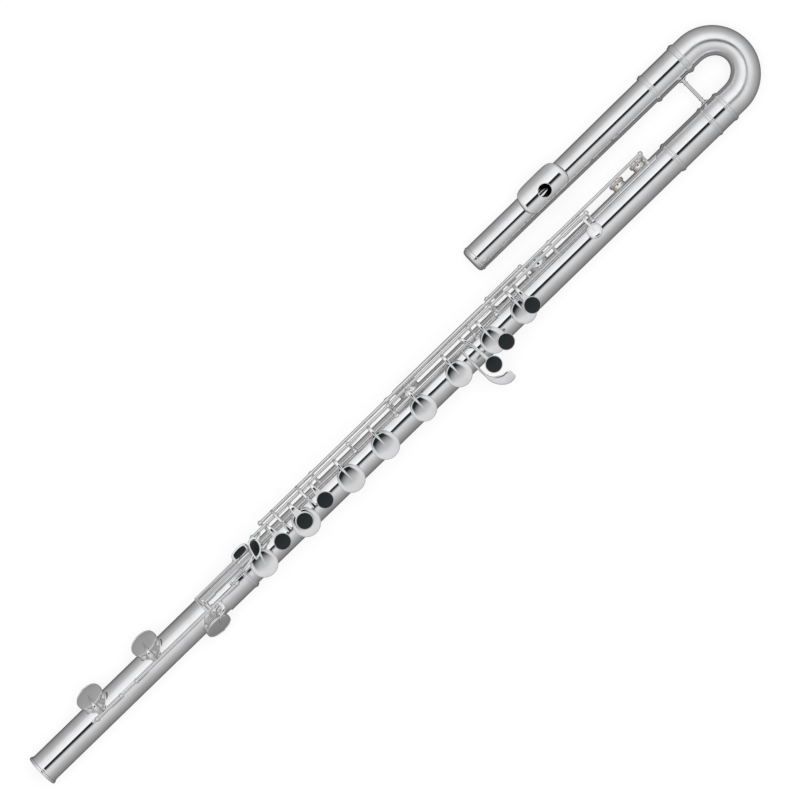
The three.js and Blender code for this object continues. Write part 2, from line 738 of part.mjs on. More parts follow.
function addRods(group) {
  const [first, split, last] = [stackPostShares[0], stackPostShares[5], stackPostShares[7]].map(onBody);
  const rod = (name, hinge, from, to) =>
    addMesh(group, name, solid(roundHinge(hinge, bar(from, to, rodRadius))), steel);
  rod("lower_stack_rod", hinges.stack, first - postBallRadius, split - gap);
  rod("upper_stack_rod", hinges.stack, split + gap, last + postBallRadius);
  const [thumbFrom, thumbTo] = thumbPostShares.map(onBody);
  rod("thumb_rod", hinges.thumb, thumbFrom - postBallRadius, thumbTo + postBallRadius);
  const [gSharpFrom, gSharpTo] = gSharpPostShares.map(onBody);
  rod("g_sharp_rod", hinges.gSharp, gSharpFrom - postBallRadius, gSharpTo + postBallRadius);
}

// A key of the main stack: a hinge tube with its cups, its finger button and their arms.
function addStackKey(parent, name, { from, to, cups, arms, touch, tubes = [] }) {
  const hinge = hinges.stack;
  const group = keyGroup(parent, hinge, -stackOpening);
  const pieces = [hingeTube(hinge, from, to), ...cups.map(([, each]) => cup(each)), ...arms, ...tubes];
  if (touch) pieces.push(button(touch));
  const whole = cut(join(...pieces), hingeBoreCut(hinge, from, to));
  addKeyMesh(group, `${name}_key`, whole, silver);
  cups.forEach(([padName, each]) => addKeyMesh(group, padName, solid(pad(each)), skin));
  if (touch) addKeyMesh(group, `${name}_inlay`, solid(inlay(touch)), black);
}

// A finger button's frame beside the row of cups, from its shares of the tube's radius.
function stackButton(share, [acrossShare, levelShare]) {
  return buttonFrame(onBody(share), stackHoleAngle, acrossShare * tubeRadius, levelShare * tubeRadius);
}

function buttonArm(x, share, [acrossShare, levelShare]) {
  const target = {
    x: onBody(share), degrees: stackHoleAngle, across: acrossShare * tubeRadius,
    level: levelShare * tubeRadius - gap,
  };
  return reachingArm(hinges.stack, x, target, 1);
}

function stackSpan(index) {
  const [from, to] = [stackPostShares[index], stackPostShares[index + 1]].map(onBody);
  return { from: from + postGap, to: to - postGap };
}

function addStack(group) {
  const stack = hinges.stack;
  const arm = (each, x = each.x, offset = 0) => cupArm(stack, each, x, offset);
  addStackKey(group, "d", {
    ...stackSpan(0), cups: [["d_pad", holes.d]], touch: stackButton(bodyShares.dButton, nearButtonShares),
    arms: [arm(holes.d, onBody(bodyShares.dArm)),
      buttonArm(onBody(bodyShares.dButton), bodyShares.dButton, nearButtonShares)],
  });
  addStackKey(group, "e", {
    ...stackSpan(1), cups: [["e_pad", holes.e]],
    arms: [-forkHalfWidth, forkHalfWidth].map((way) => arm(holes.e, holes.e.x + way, way)),
    touch: buttonFrame(holes.e.x, stackHoleAngle, eButtonAcrossShare * tubeRadius, cupTop),
  });
  addStackKey(group, "f", {
    ...stackSpan(2), cups: [["f_pad", holes.f]], touch: stackButton(bodyShares.fButton, nearButtonShares),
    arms: [arm(holes.f), buttonArm(onBody(bodyShares.fButton), bodyShares.fButton, nearButtonShares)],
  });
  addStackKey(group, "f_sharp", {
    ...stackSpan(3), cups: [["f_sharp_pad", holes.fSharp]], arms: [arm(holes.fSharp)],
  });
  addStackKey(group, "g", {
    ...stackSpan(4), cups: [["g_lower_pad", holes.g], ["g_upper_pad", holes.gUpper]],
    touch: stackButton(bodyShares.gButton, farButtonShares),
    arms: [arm(holes.g), arm(holes.gUpper),
      buttonArm(onBody(bodyShares.gLong), bodyShares.gButton, farButtonShares)],
  });
  addStackKey(group, "a", {
    ...stackSpan(5), cups: [["a_pad", holes.a]], arms: [arm(holes.a)],
    touch: buttonFrame(onBody(bodyShares.aButton), stackHoleAngle, aButtonAcrossShare * tubeRadius, cupTop),
  });
  const split = onBody(bFlatEndShare);
  addStackKey(group, "b_flat", {
    from: stackSpan(6).from, to: split, cups: [["b_flat_pad", holes.bFlat]], arms: [arm(holes.bFlat)],
  });
  addStackKey(group, "c", {
    from: split + gap, to: stackSpan(6).to, cups: [["c_pad", holes.c]],
    touch: stackButton(bodyShares.cArm, raisedButtonShares),
    arms: [arm(holes.c), buttonArm(onBody(bodyShares.cArm), bodyShares.cArm, raisedButtonShares)],
    tubes: [hingeTube(stack, onBody(bodyShares.cThickStart), holes.c.x, sleeveTubeRadius)],
  });
}

// A lever that crosses the tube: stations are shares of the tube's radius along, across and up,
// with its half width as a share of a plain lever's.
function crossLever(x, hinge, stationShares, across) {
  const stations = stationShares.map(([along, side, rise, width]) => [
    vector(x + along * tubeRadius, side * tubeRadius, rise * tubeRadius), width * leverHalfWidth,
  ]);
  return lever([[hingePoint(hinge, x), stations[0][1]], ...stations], leverHalfHeight, across);
}

function hingePoint(hinge, x) {
  return vector(x, hinge.y, hinge.z);
}

function addGSharp(parent) {
  const hinge = hinges.gSharp;
  const [first, last] = gSharpPostShares.map(onBody);
  const [from, to] = [first + postGap, last - postGap];
  const group = keyGroup(parent, hinge, 0);
  const whole = join(
    hingeTube(hinge, from, to, sleeveTubeRadius), cup(holes.gSharp),
    cupArm(hinge, holes.gSharp, holes.gSharp.x, 0, sideArmBendShares),
    crossLever(onBody(bodyShares.gSharpLever), hinge, gSharpLeverShares),
  );
  addKeyMesh(group, "g_sharp_key", cut(whole, hingeBoreCut(hinge, from, to)), silver);
  addKeyMesh(group, "g_sharp_pad", solid(pad(holes.gSharp)), skin);
}

function addTrills(parent) {
  const hinge = hinges.trill;
  const [first, last] = [trillPostShares[0], trillPostShares.at(-1)].map(onBody);
  const touches = [bodyShares.dSharpTrillTouch, bodyShares.dTrillTouch].map(onBody);
  const split = (touches[0] + touches[1]) / 2;
  const upperSplit = (holes.dTrill.x + holes.dSharpTrill.x) / 2;
  const sharp = keyGroup(parent, hinge, 0);
  const shaft = join(
    roundHinge(hinge, bar(first - postBallRadius, last + postBallRadius, rodRadius)),
    hingeTube(hinge, first + postGap, split - gap), hingeTube(hinge, upperSplit + gap, last - postGap),
    crossLever(touches[0], hinge, trillTouchShares, vector(1, 0, 0)),
    cupArm(hinge, holes.dSharpTrill, holes.dSharpTrill.x), cup(holes.dSharpTrill),
  );
  addKeyMesh(sharp, "d_sharp_trill_key", shaft, silver);
  addKeyMesh(sharp, "d_sharp_trill_pad", solid(pad(holes.dSharpTrill)), skin);
  const plain = keyGroup(parent, hinge, 0);
  const tube = join(
    hingeTube(hinge, split, upperSplit),
    hingeTube(hinge, ...[bodyShares.sleeveStart, bodyShares.sleeveEnd].map(onBody), sleeveTubeRadius),
    crossLever(touches[1], hinge, trillTouchShares, vector(1, 0, 0)),
    cupArm(hinge, holes.dTrill, holes.dTrill.x), cup(holes.dTrill),
  );
  addKeyMesh(plain, "d_trill_key", cut(tube, hingeBoreCut(hinge, split, upperSplit)), silver);
  addKeyMesh(plain, "d_trill_pad", solid(pad(holes.dTrill)), skin);
}

function addThumbKeys(parent) {
  const hinge = hinges.thumb;
  const [first, last] = thumbPostShares.map(onBody);
  const split = onBody(thumbSplitShare);
  const group = keyGroup(parent, hinge, thumbOpening);
  const [from, to] = [split + gap, last - postGap];
  const armX = onBody(bodyShares.thumbBArm);
  const whole = join(
    hingeTube(hinge, from, to), crossLever(armX, hinge, thumbArmShares, vector(0, 0, 1)),
    cup(holes.thumbB), crossLever((from + armX) / 2, hinge, thumbTouchShares, vector(1, 0, 0)),
  );
  addKeyMesh(group, "thumb_b_key", cut(whole, hingeBoreCut(hinge, from, to)), silver);
  addKeyMesh(group, "thumb_b_pad", solid(pad(holes.thumbB)), skin);
  const flat = keyGroup(parent, hinge, thumbOpening);
  const start = first + postGap;
  const plate = join(
    hingeTube(hinge, start, split),
    crossLever((start + split) / 2, hinge, thumbTouchShares, vector(1, 0, 0)),
  );
  addKeyMesh(flat, "thumb_b_flat_lever", cut(plate, hingeBoreCut(hinge, start, split)), silver);
}

function addBodyJoint(parent) {
  const group = new THREE.Group();
  parent.add(group);
  addBodyTubes(group);
  addBodyRib(group);
  addRods(group);
  addStack(group);
  addGSharp(group);
  addTrills(group);
  addThumbKeys(group);
}

// Bend and head joint

// A ring of the bend: its middle, the way outwards in the bend's plane, and its two half widths.
function bendRing(centre, outwards, half, depth) {
  return Array.from({ length: bendSides }, (_, i) => {
    const turn = (i / bendSides) * 2 * Math.PI;
    return centre.clone()
      .addScaledVector(outwards, Math.cos(turn) * half)
      .addScaledVector(vector(0, 0, 1), Math.sin(turn) * depth);
  });
}

// The bend's skin, drawn in evenly by a wall, from the end of one leg to the end of the other.
function bendSkin(inset, beyond) {
  const rings = [];
  const half = tubeRadius - inset;
  const legStart = bodyEnd + legInset - beyond;
  const headLeg = headSocketEnd - beadWidth + gap - beyond;
  rings.push(bendRing(vector(legStart, 0, 0), vector(0, -1, 0), half, half));
  for (let i = 0; i <= bendSteps; i++) {
    const turn = Math.PI * (i / bendSteps);
    const y = (legSpacing / 2) * (1 - Math.cos(turn));
    const centre = vector(arcStart + bendReach * Math.sin(turn), y, 0);
    const outwards = vector(Math.sin(turn), -Math.cos(turn), 0);
    const drawnIn = (tubeRadius - bendApexRadius) * Math.sin(turn) ** 2;
    rings.push(bendRing(centre, outwards, half - drawnIn, half));
  }
  rings.push(bendRing(vector(headLeg, legSpacing, 0), vector(0, 1, 0), half, half));
  return loft(rings);
}

function addBend(parent) {
  const group = new THREE.Group();
  parent.add(group);
  addMesh(group, "u_bend", cut(solid(bendSkin(0, 0)), bendSkin(tubeWall, overrun)), silver);
  const end = collarStart + collarLength;
  const outerRadius = sleeveInner + sleeveWall;
  const collar = beadedSleeve(collarStart + gap, end, sleeveInner, outerRadius, [end - beadWidth]);
  addMesh(group, "bend_collar", solid(collar), silver);
  addMesh(group, "head_socket", solid(headSocket().translate(0, legSpacing, 0)), silver);
  addMesh(group, "bend_brace", solid(brace()), silver);
}

// The head socket is narrow where it holds the head tube and wide where it sits on the bend.
function headSocket() {
  const start = headSocketEnd - headSocketLength;
  const [inner, wide] = [headRadius + gap, sleeveInner + sleeveWall];
  const outerRadius = inner + headSocketWall;
  const step = headSocketEnd - beadWidth;
  const profile = [
    [start, inner], [start, outerRadius], ...bead(start, outerRadius, beadWidth).slice(1),
    [step - beadRise, outerRadius], [step, wide], ...bead(step, wide, beadWidth).slice(1),
    [headSocketEnd, sleeveInner], [step, sleeveInner], [step, inner], [start, inner],
  ];
  return turned(profile);
}

// The brace is turned round a line across the two legs, with a flared foot and a ring.
function brace() {
  const low = sleeveInner + sleeveWall + gap;
  const high = legSpacing - (headRadius + gap + headSocketWall) - gap;
  const half = braceWidth / 2;
  const ringAt = [low + braceWidth, high - braceWidth];
  const profile = [
    [low, 0], [low, braceWidth], [low + half, half], [ringAt[0], half],
    [ringAt[0] + half / 2, half + gap], [ringAt[0] + half, half], [ringAt[1] - half, half],
    [ringAt[1], half], [high - half, half + gap], [high, braceWidth], [high, 0],
  ];
  const x = arcStart + bendReach - braceFromApex;
  return turned(profile, barSides * 2).rotateZ(Math.PI / 2).translate(x, 0, 0);
}

function headRadiusAt(x) {
  const [from, to] = headTaperShares.map((share) => crownStart + share * headLength);
  const part = THREE.MathUtils.clamp((x - from) / (to - from), 0, 1);
  return THREE.MathUtils.lerp(headEndRadius, headRadius, part);
}

function headTube() {
  const places = [0, ...headTaperShares, 1].map((share) => crownStart + share * headLength);
  const outside = places.map((x) => [x, headRadiusAt(x)]);
  const inside = places.map((x) => [x, headRadiusAt(x) - tubeWall]).reverse();
  return turned([...outside, ...inside, outside[0]]);
}

function embouchureCut() {
  const stretch = embouchureLength / embouchureWidth;
  return disc(new THREE.Matrix4(), embouchureWidth / 2, 0, tubeRadius + headRadius)
    .scale(stretch, 1, 1).translate(embouchureAt, 0, 0);
}

// The lip plate is a curved strip round the tube that rises towards its outer edge. The strip
// lies between two lifts above its own underside.
function lipStrip(lowLift, highLift) {
  const rings = [];
  const [low, high] = lipPlateAngles.map(radians);
  for (let i = 0; i <= lipSteps; i++) {
    const part = (2 * i) / lipSteps - 1;
    const width = Math.max(Math.sqrt(1 - part ** 4), lipEndShare);
    const x = embouchureAt + part * (lipPlateLength / 2);
    const point = (k, lift) => {
      const turn = THREE.MathUtils.lerp(low * width, high * width, k / lipSides);
      const rise = lipPlateRise * THREE.MathUtils.clamp(1 - turn / low, 0, lipRiseLimitShare);
      const radius = headRadiusAt(x) + gap + rise * width + lift;
      return vector(x, radius * Math.sin(turn), radius * Math.cos(turn));
    };
    const across = Array.from({ length: lipSides + 1 }, (_, k) => k);
    const upper = across.map((k) => point(k, highLift));
    rings.push([...upper, ...across.reverse().map((k) => point(k, lowLift))]);
  }
  return loft(rings);
}

// The riser is the short chimney between the head tube and the lip plate.
function addLipPlate(group) {
  const pillar = disc(new THREE.Matrix4(), embouchureLength / 2 + riserWall, 0, tubeRadius + headRadius)
    .translate(embouchureAt, 0, 0);
  const riser = solid(pillar).intersect(solid(lipStrip(-headEndRadius / 2, lipPlateWall / 2)));
  const room = bar(embouchureAt - lipPlateLength, embouchureAt + lipPlateLength,
    headRadiusAt(embouchureAt) + gap, tubeSides);
  const plate = solid(lipStrip(0, lipPlateWall)).add(riser);
  addMesh(group, "lip_plate", cut(plate, room, embouchureCut()), silver);
}

function addStopper(group) {
  const inner = headEndRadius - tubeWall;
  const corkEnd = embouchureAt - corkFromEmbouchure;
  const corkStart = corkEnd - corkLength;
  const whole = sleeve(corkStart, corkEnd, screwRadius + gap, inner - gap);
  addMesh(group, "head_cork", solid(whole), cork);
  const plateEnd = corkEnd + gap + corkPlate;
  const screw = join(
    bar(crownStart - crownRingWidth + gap, plateEnd, screwRadius),
    bar(corkEnd + gap, plateEnd, inner - 2 * gap, tubeSides),
    bar(corkStart - gap - corkPlate, corkStart - gap, inner - 2 * gap, tubeSides),
  );
  addMesh(group, "cork_screw", screw, steel);
}

function addCrown(group) {
  const ringRadius = headEndRadius + crownRise;
  const spigot = headEndRadius - tubeWall - gap;
  const profile = [
    [-crownLength, 0], [-crownLength, crownFaceShare * ringRadius],
    [-crownLength + crownRise * 2, crownEdgeShare * ringRadius],
    [-crownRingWidth - gap, ringRadius - crownRise], [-crownRingWidth, ringRadius], [-gap, ringRadius],
    [-gap, spigot], [crownLength, spigot], [crownLength, spigot - tubeWall * 2],
    [-crownRingWidth, spigot - tubeWall * 2], [-crownRingWidth, 0],
  ];
  addMesh(group, "crown", solid(turned(profile)), silver).position.x = crownStart;
}

function addHeadJoint(parent) {
  const group = new THREE.Group();
  group.position.y = legSpacing;
  parent.add(group);
  addMesh(group, "head_tube", cut(solid(headTube()), embouchureCut()), silver);
  addLipPlate(group);
  addStopper(group);
  addCrown(group);
}

addFootJoint(flute);
addBodyJoint(flute);
addBend(flute);
addHeadJoint(flute);

// The origin is under the middle of the flute, on the table.
flute.updateMatrixWorld(true);
const box = new THREE.Box3().setFromObject(flute, true);
const middle = box.getCenter(vector(0, 0, 0));
flute.position.set(-middle.x, -middle.y, -box.min.z);

export default flute;
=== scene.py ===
"""A bass flute lying with its keys up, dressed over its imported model.

Pieces are drafted in millimetres on a bench. X runs along the main tube from the foot's open end to
the bend, Y points from the main tube towards the head joint and Z is up. The bench finds its origin
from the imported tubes, so every piece lands where the solids say.
"""
import logging
import math
from collections.abc import Sequence
from dataclasses import dataclass, field
from enum import Enum

import bmesh
import bpy
from mathutils import Matrix, Vector

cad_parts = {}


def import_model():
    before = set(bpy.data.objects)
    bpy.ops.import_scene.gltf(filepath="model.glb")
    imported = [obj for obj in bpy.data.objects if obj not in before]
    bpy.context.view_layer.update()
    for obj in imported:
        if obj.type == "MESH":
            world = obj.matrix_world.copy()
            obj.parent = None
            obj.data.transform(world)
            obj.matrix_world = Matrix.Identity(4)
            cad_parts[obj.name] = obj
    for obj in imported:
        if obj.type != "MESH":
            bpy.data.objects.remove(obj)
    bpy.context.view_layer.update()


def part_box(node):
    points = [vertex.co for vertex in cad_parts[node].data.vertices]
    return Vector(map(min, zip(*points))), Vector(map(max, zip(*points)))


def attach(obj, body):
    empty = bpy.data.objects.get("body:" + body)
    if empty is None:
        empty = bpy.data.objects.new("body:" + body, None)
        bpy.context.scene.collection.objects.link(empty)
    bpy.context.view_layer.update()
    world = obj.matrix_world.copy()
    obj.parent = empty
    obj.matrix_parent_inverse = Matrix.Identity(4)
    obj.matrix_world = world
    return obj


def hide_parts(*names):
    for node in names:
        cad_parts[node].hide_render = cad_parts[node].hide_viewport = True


log = logging.getLogger("bass_flute")

Profile = list[tuple[float, float]]
Rows = Sequence[Sequence[float]]
Colour = tuple[float, float, float]
Object = bpy.types.Object

MM = 0.001
TUBE_SIDES = 112
ROD_SIDES = 28
SECTION_POINTS = 16
SHARP_ANGLE = math.radians(38)
# Lengths in millimetres: a narrower ring is a pole, and points that are closer become one.
POLE = 1e-6
WELD = 1e-4
# A longer straight run in a profile gets points this far from its ends, which keep it flat.
LONG_RUN = 2.5
HOLD = 0.15


# Drafting

def softened(profile: Profile, radius: float, steps: int = 3, closed: bool = False) -> Profile:
    """Rounds the corners of a profile.

    Args:
        profile: The profile's points.
        radius: How far a rounding reaches along each edge, in millimetres.
        steps: Points on each rounding, less one.
        closed: Whether the last point meets the first.

    Returns:
        The rounded profile.
    """
    rounded: Profile = []
    count = len(profile)
    for i, corner in enumerate(profile):
        if not closed and i in (0, count - 1):
            rounded.append(corner)
            continue
        here = Vector(corner)
        back, forth = Vector(profile[i - 1]) - here, Vector(profile[(i + 1) % count]) - here
        reach = min(radius, 0.45 * back.length, 0.45 * forth.length)
        start, end = here + back.normalized() * reach, here + forth.normalized() * reach
        for k in range(steps + 1):
            part = k / steps
            point = start.lerp(here, part).lerp(here.lerp(end, part), part)
            rounded.append((point.x, point.y))
    return rounded


def held(profile: Profile, closed: bool) -> Profile:
    """Adds points close to the ends of long straight runs, so that their shading stays flat.

    Args:
        profile: Points of radius and level.
        closed: Whether the last point meets the first.

    Returns:
        The profile with its added points.
    """
    made = []
    for i, here in enumerate(profile):
        made.append(here)
        after = profile[(i + 1) % len(profile)]
        run = math.dist(here, after)
        if run > LONG_RUN and (closed or i + 1 < len(profile)):
            made += [tuple(_lerp(a, b, share) for a, b in zip(here, after))
                     for share in (HOLD / run, 1 - HOLD / run)]
    return made


def turns(count: int) -> list[float]:
    """Equal turns all the way round, in radians."""
    return [2 * math.pi * j / count for j in range(count)]


def block(radius: float, low: float, high: float) -> Profile:
    """The profile of a plain round block."""
    return [(0, low), (radius, low), (radius, high), (0, high)]


def smooth_path(rows: Rows, steps: int) -> list[list[float]]:
    """Runs a smooth line through rows of numbers whose first three are a place.

    Args:
        rows: The rows that the line passes through.
        steps: How many points lie on the way from one row to the next.

    Returns:
        The rows along the line.
    """
    first = [2 * a - b for a, b in zip(rows[0], rows[1])]
    last = [2 * a - b for a, b in zip(rows[-1], rows[-2])]
    whole = [first, *rows, last]
    line: list[list[float]] = []
    for i in range(1, len(whole) - 2):
        near = whole[i - 1:i + 3]
        spans = [max(math.dist(near[k][:3], near[k + 1][:3]) ** 0.5, WELD) for k in range(3)]
        for k in range(steps + (i == len(whole) - 3)):
            line.append([_between(values, spans, k / steps) for values in zip(*near)])
    return line


def _between(values: Sequence[float], spans: Sequence[float], part: float) -> float:
    """The smooth value between the second and the third of four.

    Args:
        values: Four neighbouring values.
        spans: The three distances between them.
        part: The share of the way from the second value to the third.

    Returns:
        The value there.
    """
    a, b, c, d = values
    before, here, after = spans
    leave = ((b - a) / before - (c - a) / (before + here) + (c - b) / here) * here
    arrive = ((c - b) / here - (d - b) / (here + after) + (d - c) / after) * here
    bend, twist = -3 * b + 3 * c - 2 * leave - arrive, 2 * b - 2 * c + leave + arrive
    return b + leave * part + bend * part ** 2 + twist * part ** 3


@dataclass
class Station:
    """A place that a bar passes through, with its half width and half height there."""

    place: Vector
    width: float
    height: float


@dataclass
class Form:
    """A draft in millimetres that gathers closed bodies before it becomes a piece."""

    points: list[Vector] = field(default_factory=list)
    faces: list[list[int]] = field(default_factory=list)

    def rings(self, rings: Sequence[Sequence[Vector]], closed: bool = False) -> "Form":
        """Joins rings of points into one closed body.

        Args:
            rings: Rings with the same count of points, or with one point for a pole.
            closed: Whether the last ring meets the first, as in a bored sleeve.

        Returns:
            This form.
        """
        starts = []
        for ring in rings:
            starts.append(len(self.points))
            self.points += ring
        order = list(range(len(rings))) + ([0] if closed else [])
        for a, b in zip(order, order[1:]):
            self._band(starts[a], len(rings[a]), starts[b], len(rings[b]))
        for end in () if closed else (0, -1):
            if len(rings[end]) > 1:
                self.faces.append([starts[end] + j for j in range(len(rings[end]))])
        return self

    def _band(self, low: int, low_count: int, high: int, high_count: int) -> None:
        """Adds the faces between two rings.

        Args:
            low: Index of the first ring's first point.
            low_count: Count of points in the first ring.
            high: Index of the second ring's first point.
            high_count: Count of points in the second ring.
        """
        count = max(low_count, high_count)
        for j in range(count):
            after = (j + 1) % count
            corners = [low + j % low_count, low + after % low_count,
                       high + after % high_count, high + j % high_count]
            self.faces.append(list(dict.fromkeys(corners)))

    def spun(self, profile: Profile, place: Matrix, sides: int, bored: bool = False) -> "Form":
        """Adds a body of revolution round the place's own Z line.

        Args:
            profile: Points of radius and level.
            place: Where the body goes.
            sides: How many sides go round it.
            bored: Whether the profile is a closed outline round a bore.

        Returns:
            This form.
        """
        rings = []
        for radius, level in held(profile, bored):
            if radius < POLE:
                rings.append([place @ Vector((0, 0, level))])
                continue
            rings.append([place @ Vector((radius * math.cos(t), radius * math.sin(t), level))
                          for t in turns(sides)])
        return self.rings(rings, bored)

    def bar(self, stations: Sequence[Station], across: Vector | None = None,
            steps: int = 7, squareness: float = 2.8) -> None:
        """Adds a smooth bar with a crowned section.

        Args:
            stations: The places that it passes through.
            across: The way that its width lies, or None where it lies level.
            steps: Rings from one station to the next.
            squareness: How square the section is, from 2 for an ellipse upwards.
        """
        rows = [[*s.place, s.width, s.height] for s in stations]
        line = smooth_path(rows, steps)
        rings = []
        for i, (x, y, z, width, height) in enumerate(line):
            before, after = line[max(i - 1, 0)], line[min(i + 1, len(line) - 1)]
            way = (Vector(after[:3]) - Vector(before[:3])).normalized()
            guide = across if across is not None else way.cross(Vector((0, 0, 1)))
            side = (guide - way * guide.dot(way)).normalized()
            rise = side.cross(way)
            ring = []
            for j in range(SECTION_POINTS):
                turn = 2 * math.pi * (j + 0.5) / SECTION_POINTS
                wide, high = (math.copysign(abs(value) ** (2 / squareness), value)
                              for value in (math.cos(turn), math.sin(turn)))
                ring.append(Vector((x, y, z)) + side * wide * width + rise * high * height)
            rings.append(ring)
        self.capped(rings)

    def slab(self, outline: Profile, low: float, high: float, soft: float, crown: float) -> "Form":
        """Adds a level plate with rounded edges.

        Args:
            outline: Its outline, seen from above.
            low: Level of its underside.
            high: Level of its edge's top.
            soft: Reach of the edges' rounding.
            crown: How far its middle stands above its edge.

        Returns:
            This form.
        """
        corners = [Vector(point) for point in outline]
        middle = sum(corners, Vector((0, 0))) / len(corners)
        half = sum((corner - middle).length for corner in corners) / len(corners)
        edge = softened(block(half, low, high), soft)[1:-1]
        levels = [(reach / half, level) for reach, level in edge]
        levels += [(share, high + crown * math.cos(share * math.pi / 2)) for share in (0.75, 0.5, 0.25)]
        rings = [[Vector((*(middle + (corner - middle) * share), level)) for corner in corners]
                 for share, level in levels]
        bottom, top = Vector((*middle, low)), Vector((*middle, high + crown))
        return self.rings([[bottom], *rings, [top]])

    def capped(self, rings: Sequence[Sequence[Vector]]) -> "Form":
        """Joins rings into one body whose ends close on their middles."""
        return self.rings([[_middle(rings[0])], *rings, [_middle(rings[-1])]])

    def placed(self, place: Matrix) -> "Form":
        """Moves the whole form by a matrix and returns it."""
        self.points = [place @ point for point in self.points]
        return self


def _middle(ring: Sequence[Vector]) -> Vector:
    """The mean of a ring's points."""
    return sum(ring, Vector()) / len(ring)


def rounded_outline(points: Profile, steps: int = 6) -> Profile:
    """Runs a smooth closed outline through points.

    Args:
        points: The outline's corners in order.
        steps: Points from one corner to the next.

    Returns:
        The outline's points.
    """
    rows = [(x, y, 0.0) for x, y in points]
    count = len(rows)
    line = smooth_path([*rows[-2:], *rows, *rows[:3]], steps)
    return [(x, y) for x, y, _ in line[2 * steps:(2 + count) * steps]]


def scaled_outline(points: Profile, scale: float) -> Profile:
    """An outline drawn in towards its middle, to a share of its size."""
    middle = [sum(values) / len(points) for values in zip(*points)]
    return [tuple(m + scale * (v - m) for v, m in zip(point, middle)) for point in points]


# Node trees

@dataclass(frozen=True)
class Wire:
    """A socket of a node tree that takes part in sums."""

    nodes: "Nodes"
    socket: bpy.types.NodeSocket

    def math(self, operation: str, *others: "Wire | float", first: bool = True) -> "Wire":
        """The result of a Math node, with this wire as its first value or its last."""
        values = [self, *others] if first else [*others, self]
        return self.nodes.add("ShaderNodeMath", {"operation": operation}, dict(enumerate(values)))

    def clamped(self) -> "Wire":
        """This, held between 0 and 1."""
        return self.nodes.add("ShaderNodeClamp", sockets={0: self})

    def __add__(self, other: "Wire | float") -> "Wire":
        """This plus other."""
        return self.math("ADD", other)

    __radd__ = __add__

    def __mul__(self, other: "Wire | float") -> "Wire":
        """This times other."""
        return self.math("MULTIPLY", other)

    __rmul__ = __mul__

    def __sub__(self, other: "Wire | float") -> "Wire":
        """This less other."""
        return self.math("SUBTRACT", other)

    def __rsub__(self, other: float) -> "Wire":
        """Other less this."""
        return self.math("SUBTRACT", other, first=False)

    def __truediv__(self, other: "Wire | float") -> "Wire":
        """This by other."""
        return self.math("DIVIDE", other)

    def __getitem__(self, name: str) -> "Wire":
        """Another output of this wire's node, by its name."""
        return Wire(self.nodes, self.socket.node.outputs[name])


@dataclass(frozen=True)
class Nodes:
    """Adds nodes to a tree."""

    tree: bpy.types.NodeTree

    def add(self, kind: str, settings: dict | None = None, sockets: dict | None = None,
            output: str | int = 0) -> Wire:
        """Adds a node of any type.

        Args:
            kind: The node's type.
            settings: Its settings, set first. A ramp's stops are (position, colour) pairs.
            sockets: Values or wires for its inputs, by name or index.
            output: The output that the wire leaves from.

        Returns:
            A wire from its output.
        """
        made = self.tree.nodes.new(kind)
        for name, value in (settings or {}).items():
            if name == "stops":
                _fill_ramp(made.color_ramp, value)
            else:
                setattr(made, name, value)
        for name, value in (sockets or {}).items():
            if isinstance(value, Wire):
                self.tree.links.new(value.socket, made.inputs[name])
            else:
                made.inputs[name].default_value = value
        return Wire(self, made.outputs[output] if made.outputs else made.inputs[0])

    def mixed(self, share: Wire, low: Wire | Colour, high: Wire | Colour) -> Wire:
        """Two colours mixed by the share of the second."""
        ends = [end if isinstance(end, Wire) else (*end, 1.0) for end in (low, high)]
        return self.add("ShaderNodeMix", {"data_type": "RGBA"}, {0: share, 6: ends[0], 7: ends[1]}, output=2)


def _fill_ramp(ramp: bpy.types.ColorRamp, stops: Sequence[tuple[float, Sequence[float]]]) -> None:
    """Sets a colour ramp's stops.

    Args:
        ramp: The ramp.
        stops: Position and colour of each stop.
    """
    while len(ramp.elements) < len(stops):
        ramp.elements.new(1.0)
    for element, (position, colour) in zip(ramp.elements, stops):
        element.position = position
        element.color = (*colour, 1.0)


# Finishes

@dataclass(frozen=True)
class Ground:
    """A material's nodes and the coordinates that its patterns lie on, in metres."""

    nodes: Nodes
    place: Wire

    def stretched(self, *scale: float) -> "Ground":
        """The same ground, stretched along the axes for a brushed or grained surface."""
        mapping = self.nodes.add("ShaderNodeMapping", sockets={"Vector": self.place, "Scale": scale})
        return Ground(self.nodes, mapping)

    def noise(self, scale: float, detail: float = 2.0, roughness: float = 0.5) -> Wire:
        """Noise about 0.5, by its features to the metre, its finer layers and their strength."""
        return self.nodes.add("ShaderNodeTexNoise", sockets={
            "Vector": self.place, "Scale": scale, "Detail": detail, "Roughness": roughness})

    def relief(self, height: Wire, strength: float, depth: float) -> Wire:
        """The normals of a relief with a strength and a depth in metres."""
        return self.nodes.add("ShaderNodeBump", sockets={
            "Strength": strength, "Distance": depth, "Height": height})


@dataclass(frozen=True)
class Finish:
    """A finish of the flute: a named material that is made once."""

    name: str
    look: str = "finish"

    def material(self) -> bpy.types.Material:
        """Makes the finish's material at its first use.

        Returns:
            The material.
        """
        title = f"{self.name}_{self.look}"
        known = bpy.data.materials.get(title)
        if known:
            return known
        made = bpy.data.materials.new(title)
        made.use_nodes = True
        made.node_tree.nodes.clear()
        nodes = Nodes(made.node_tree)
        ground = Ground(nodes, nodes.add("ShaderNodeTexCoord", output="Object"))
        shader = nodes.add("ShaderNodeBsdfPrincipled", sockets=self.surface(ground))
        nodes.add("ShaderNodeOutputMaterial", sockets={"Surface": shader})
        return made

    def surface(self, ground: Ground) -> dict:
        """The shader's values and wires by socket name."""
        raise NotImplementedError


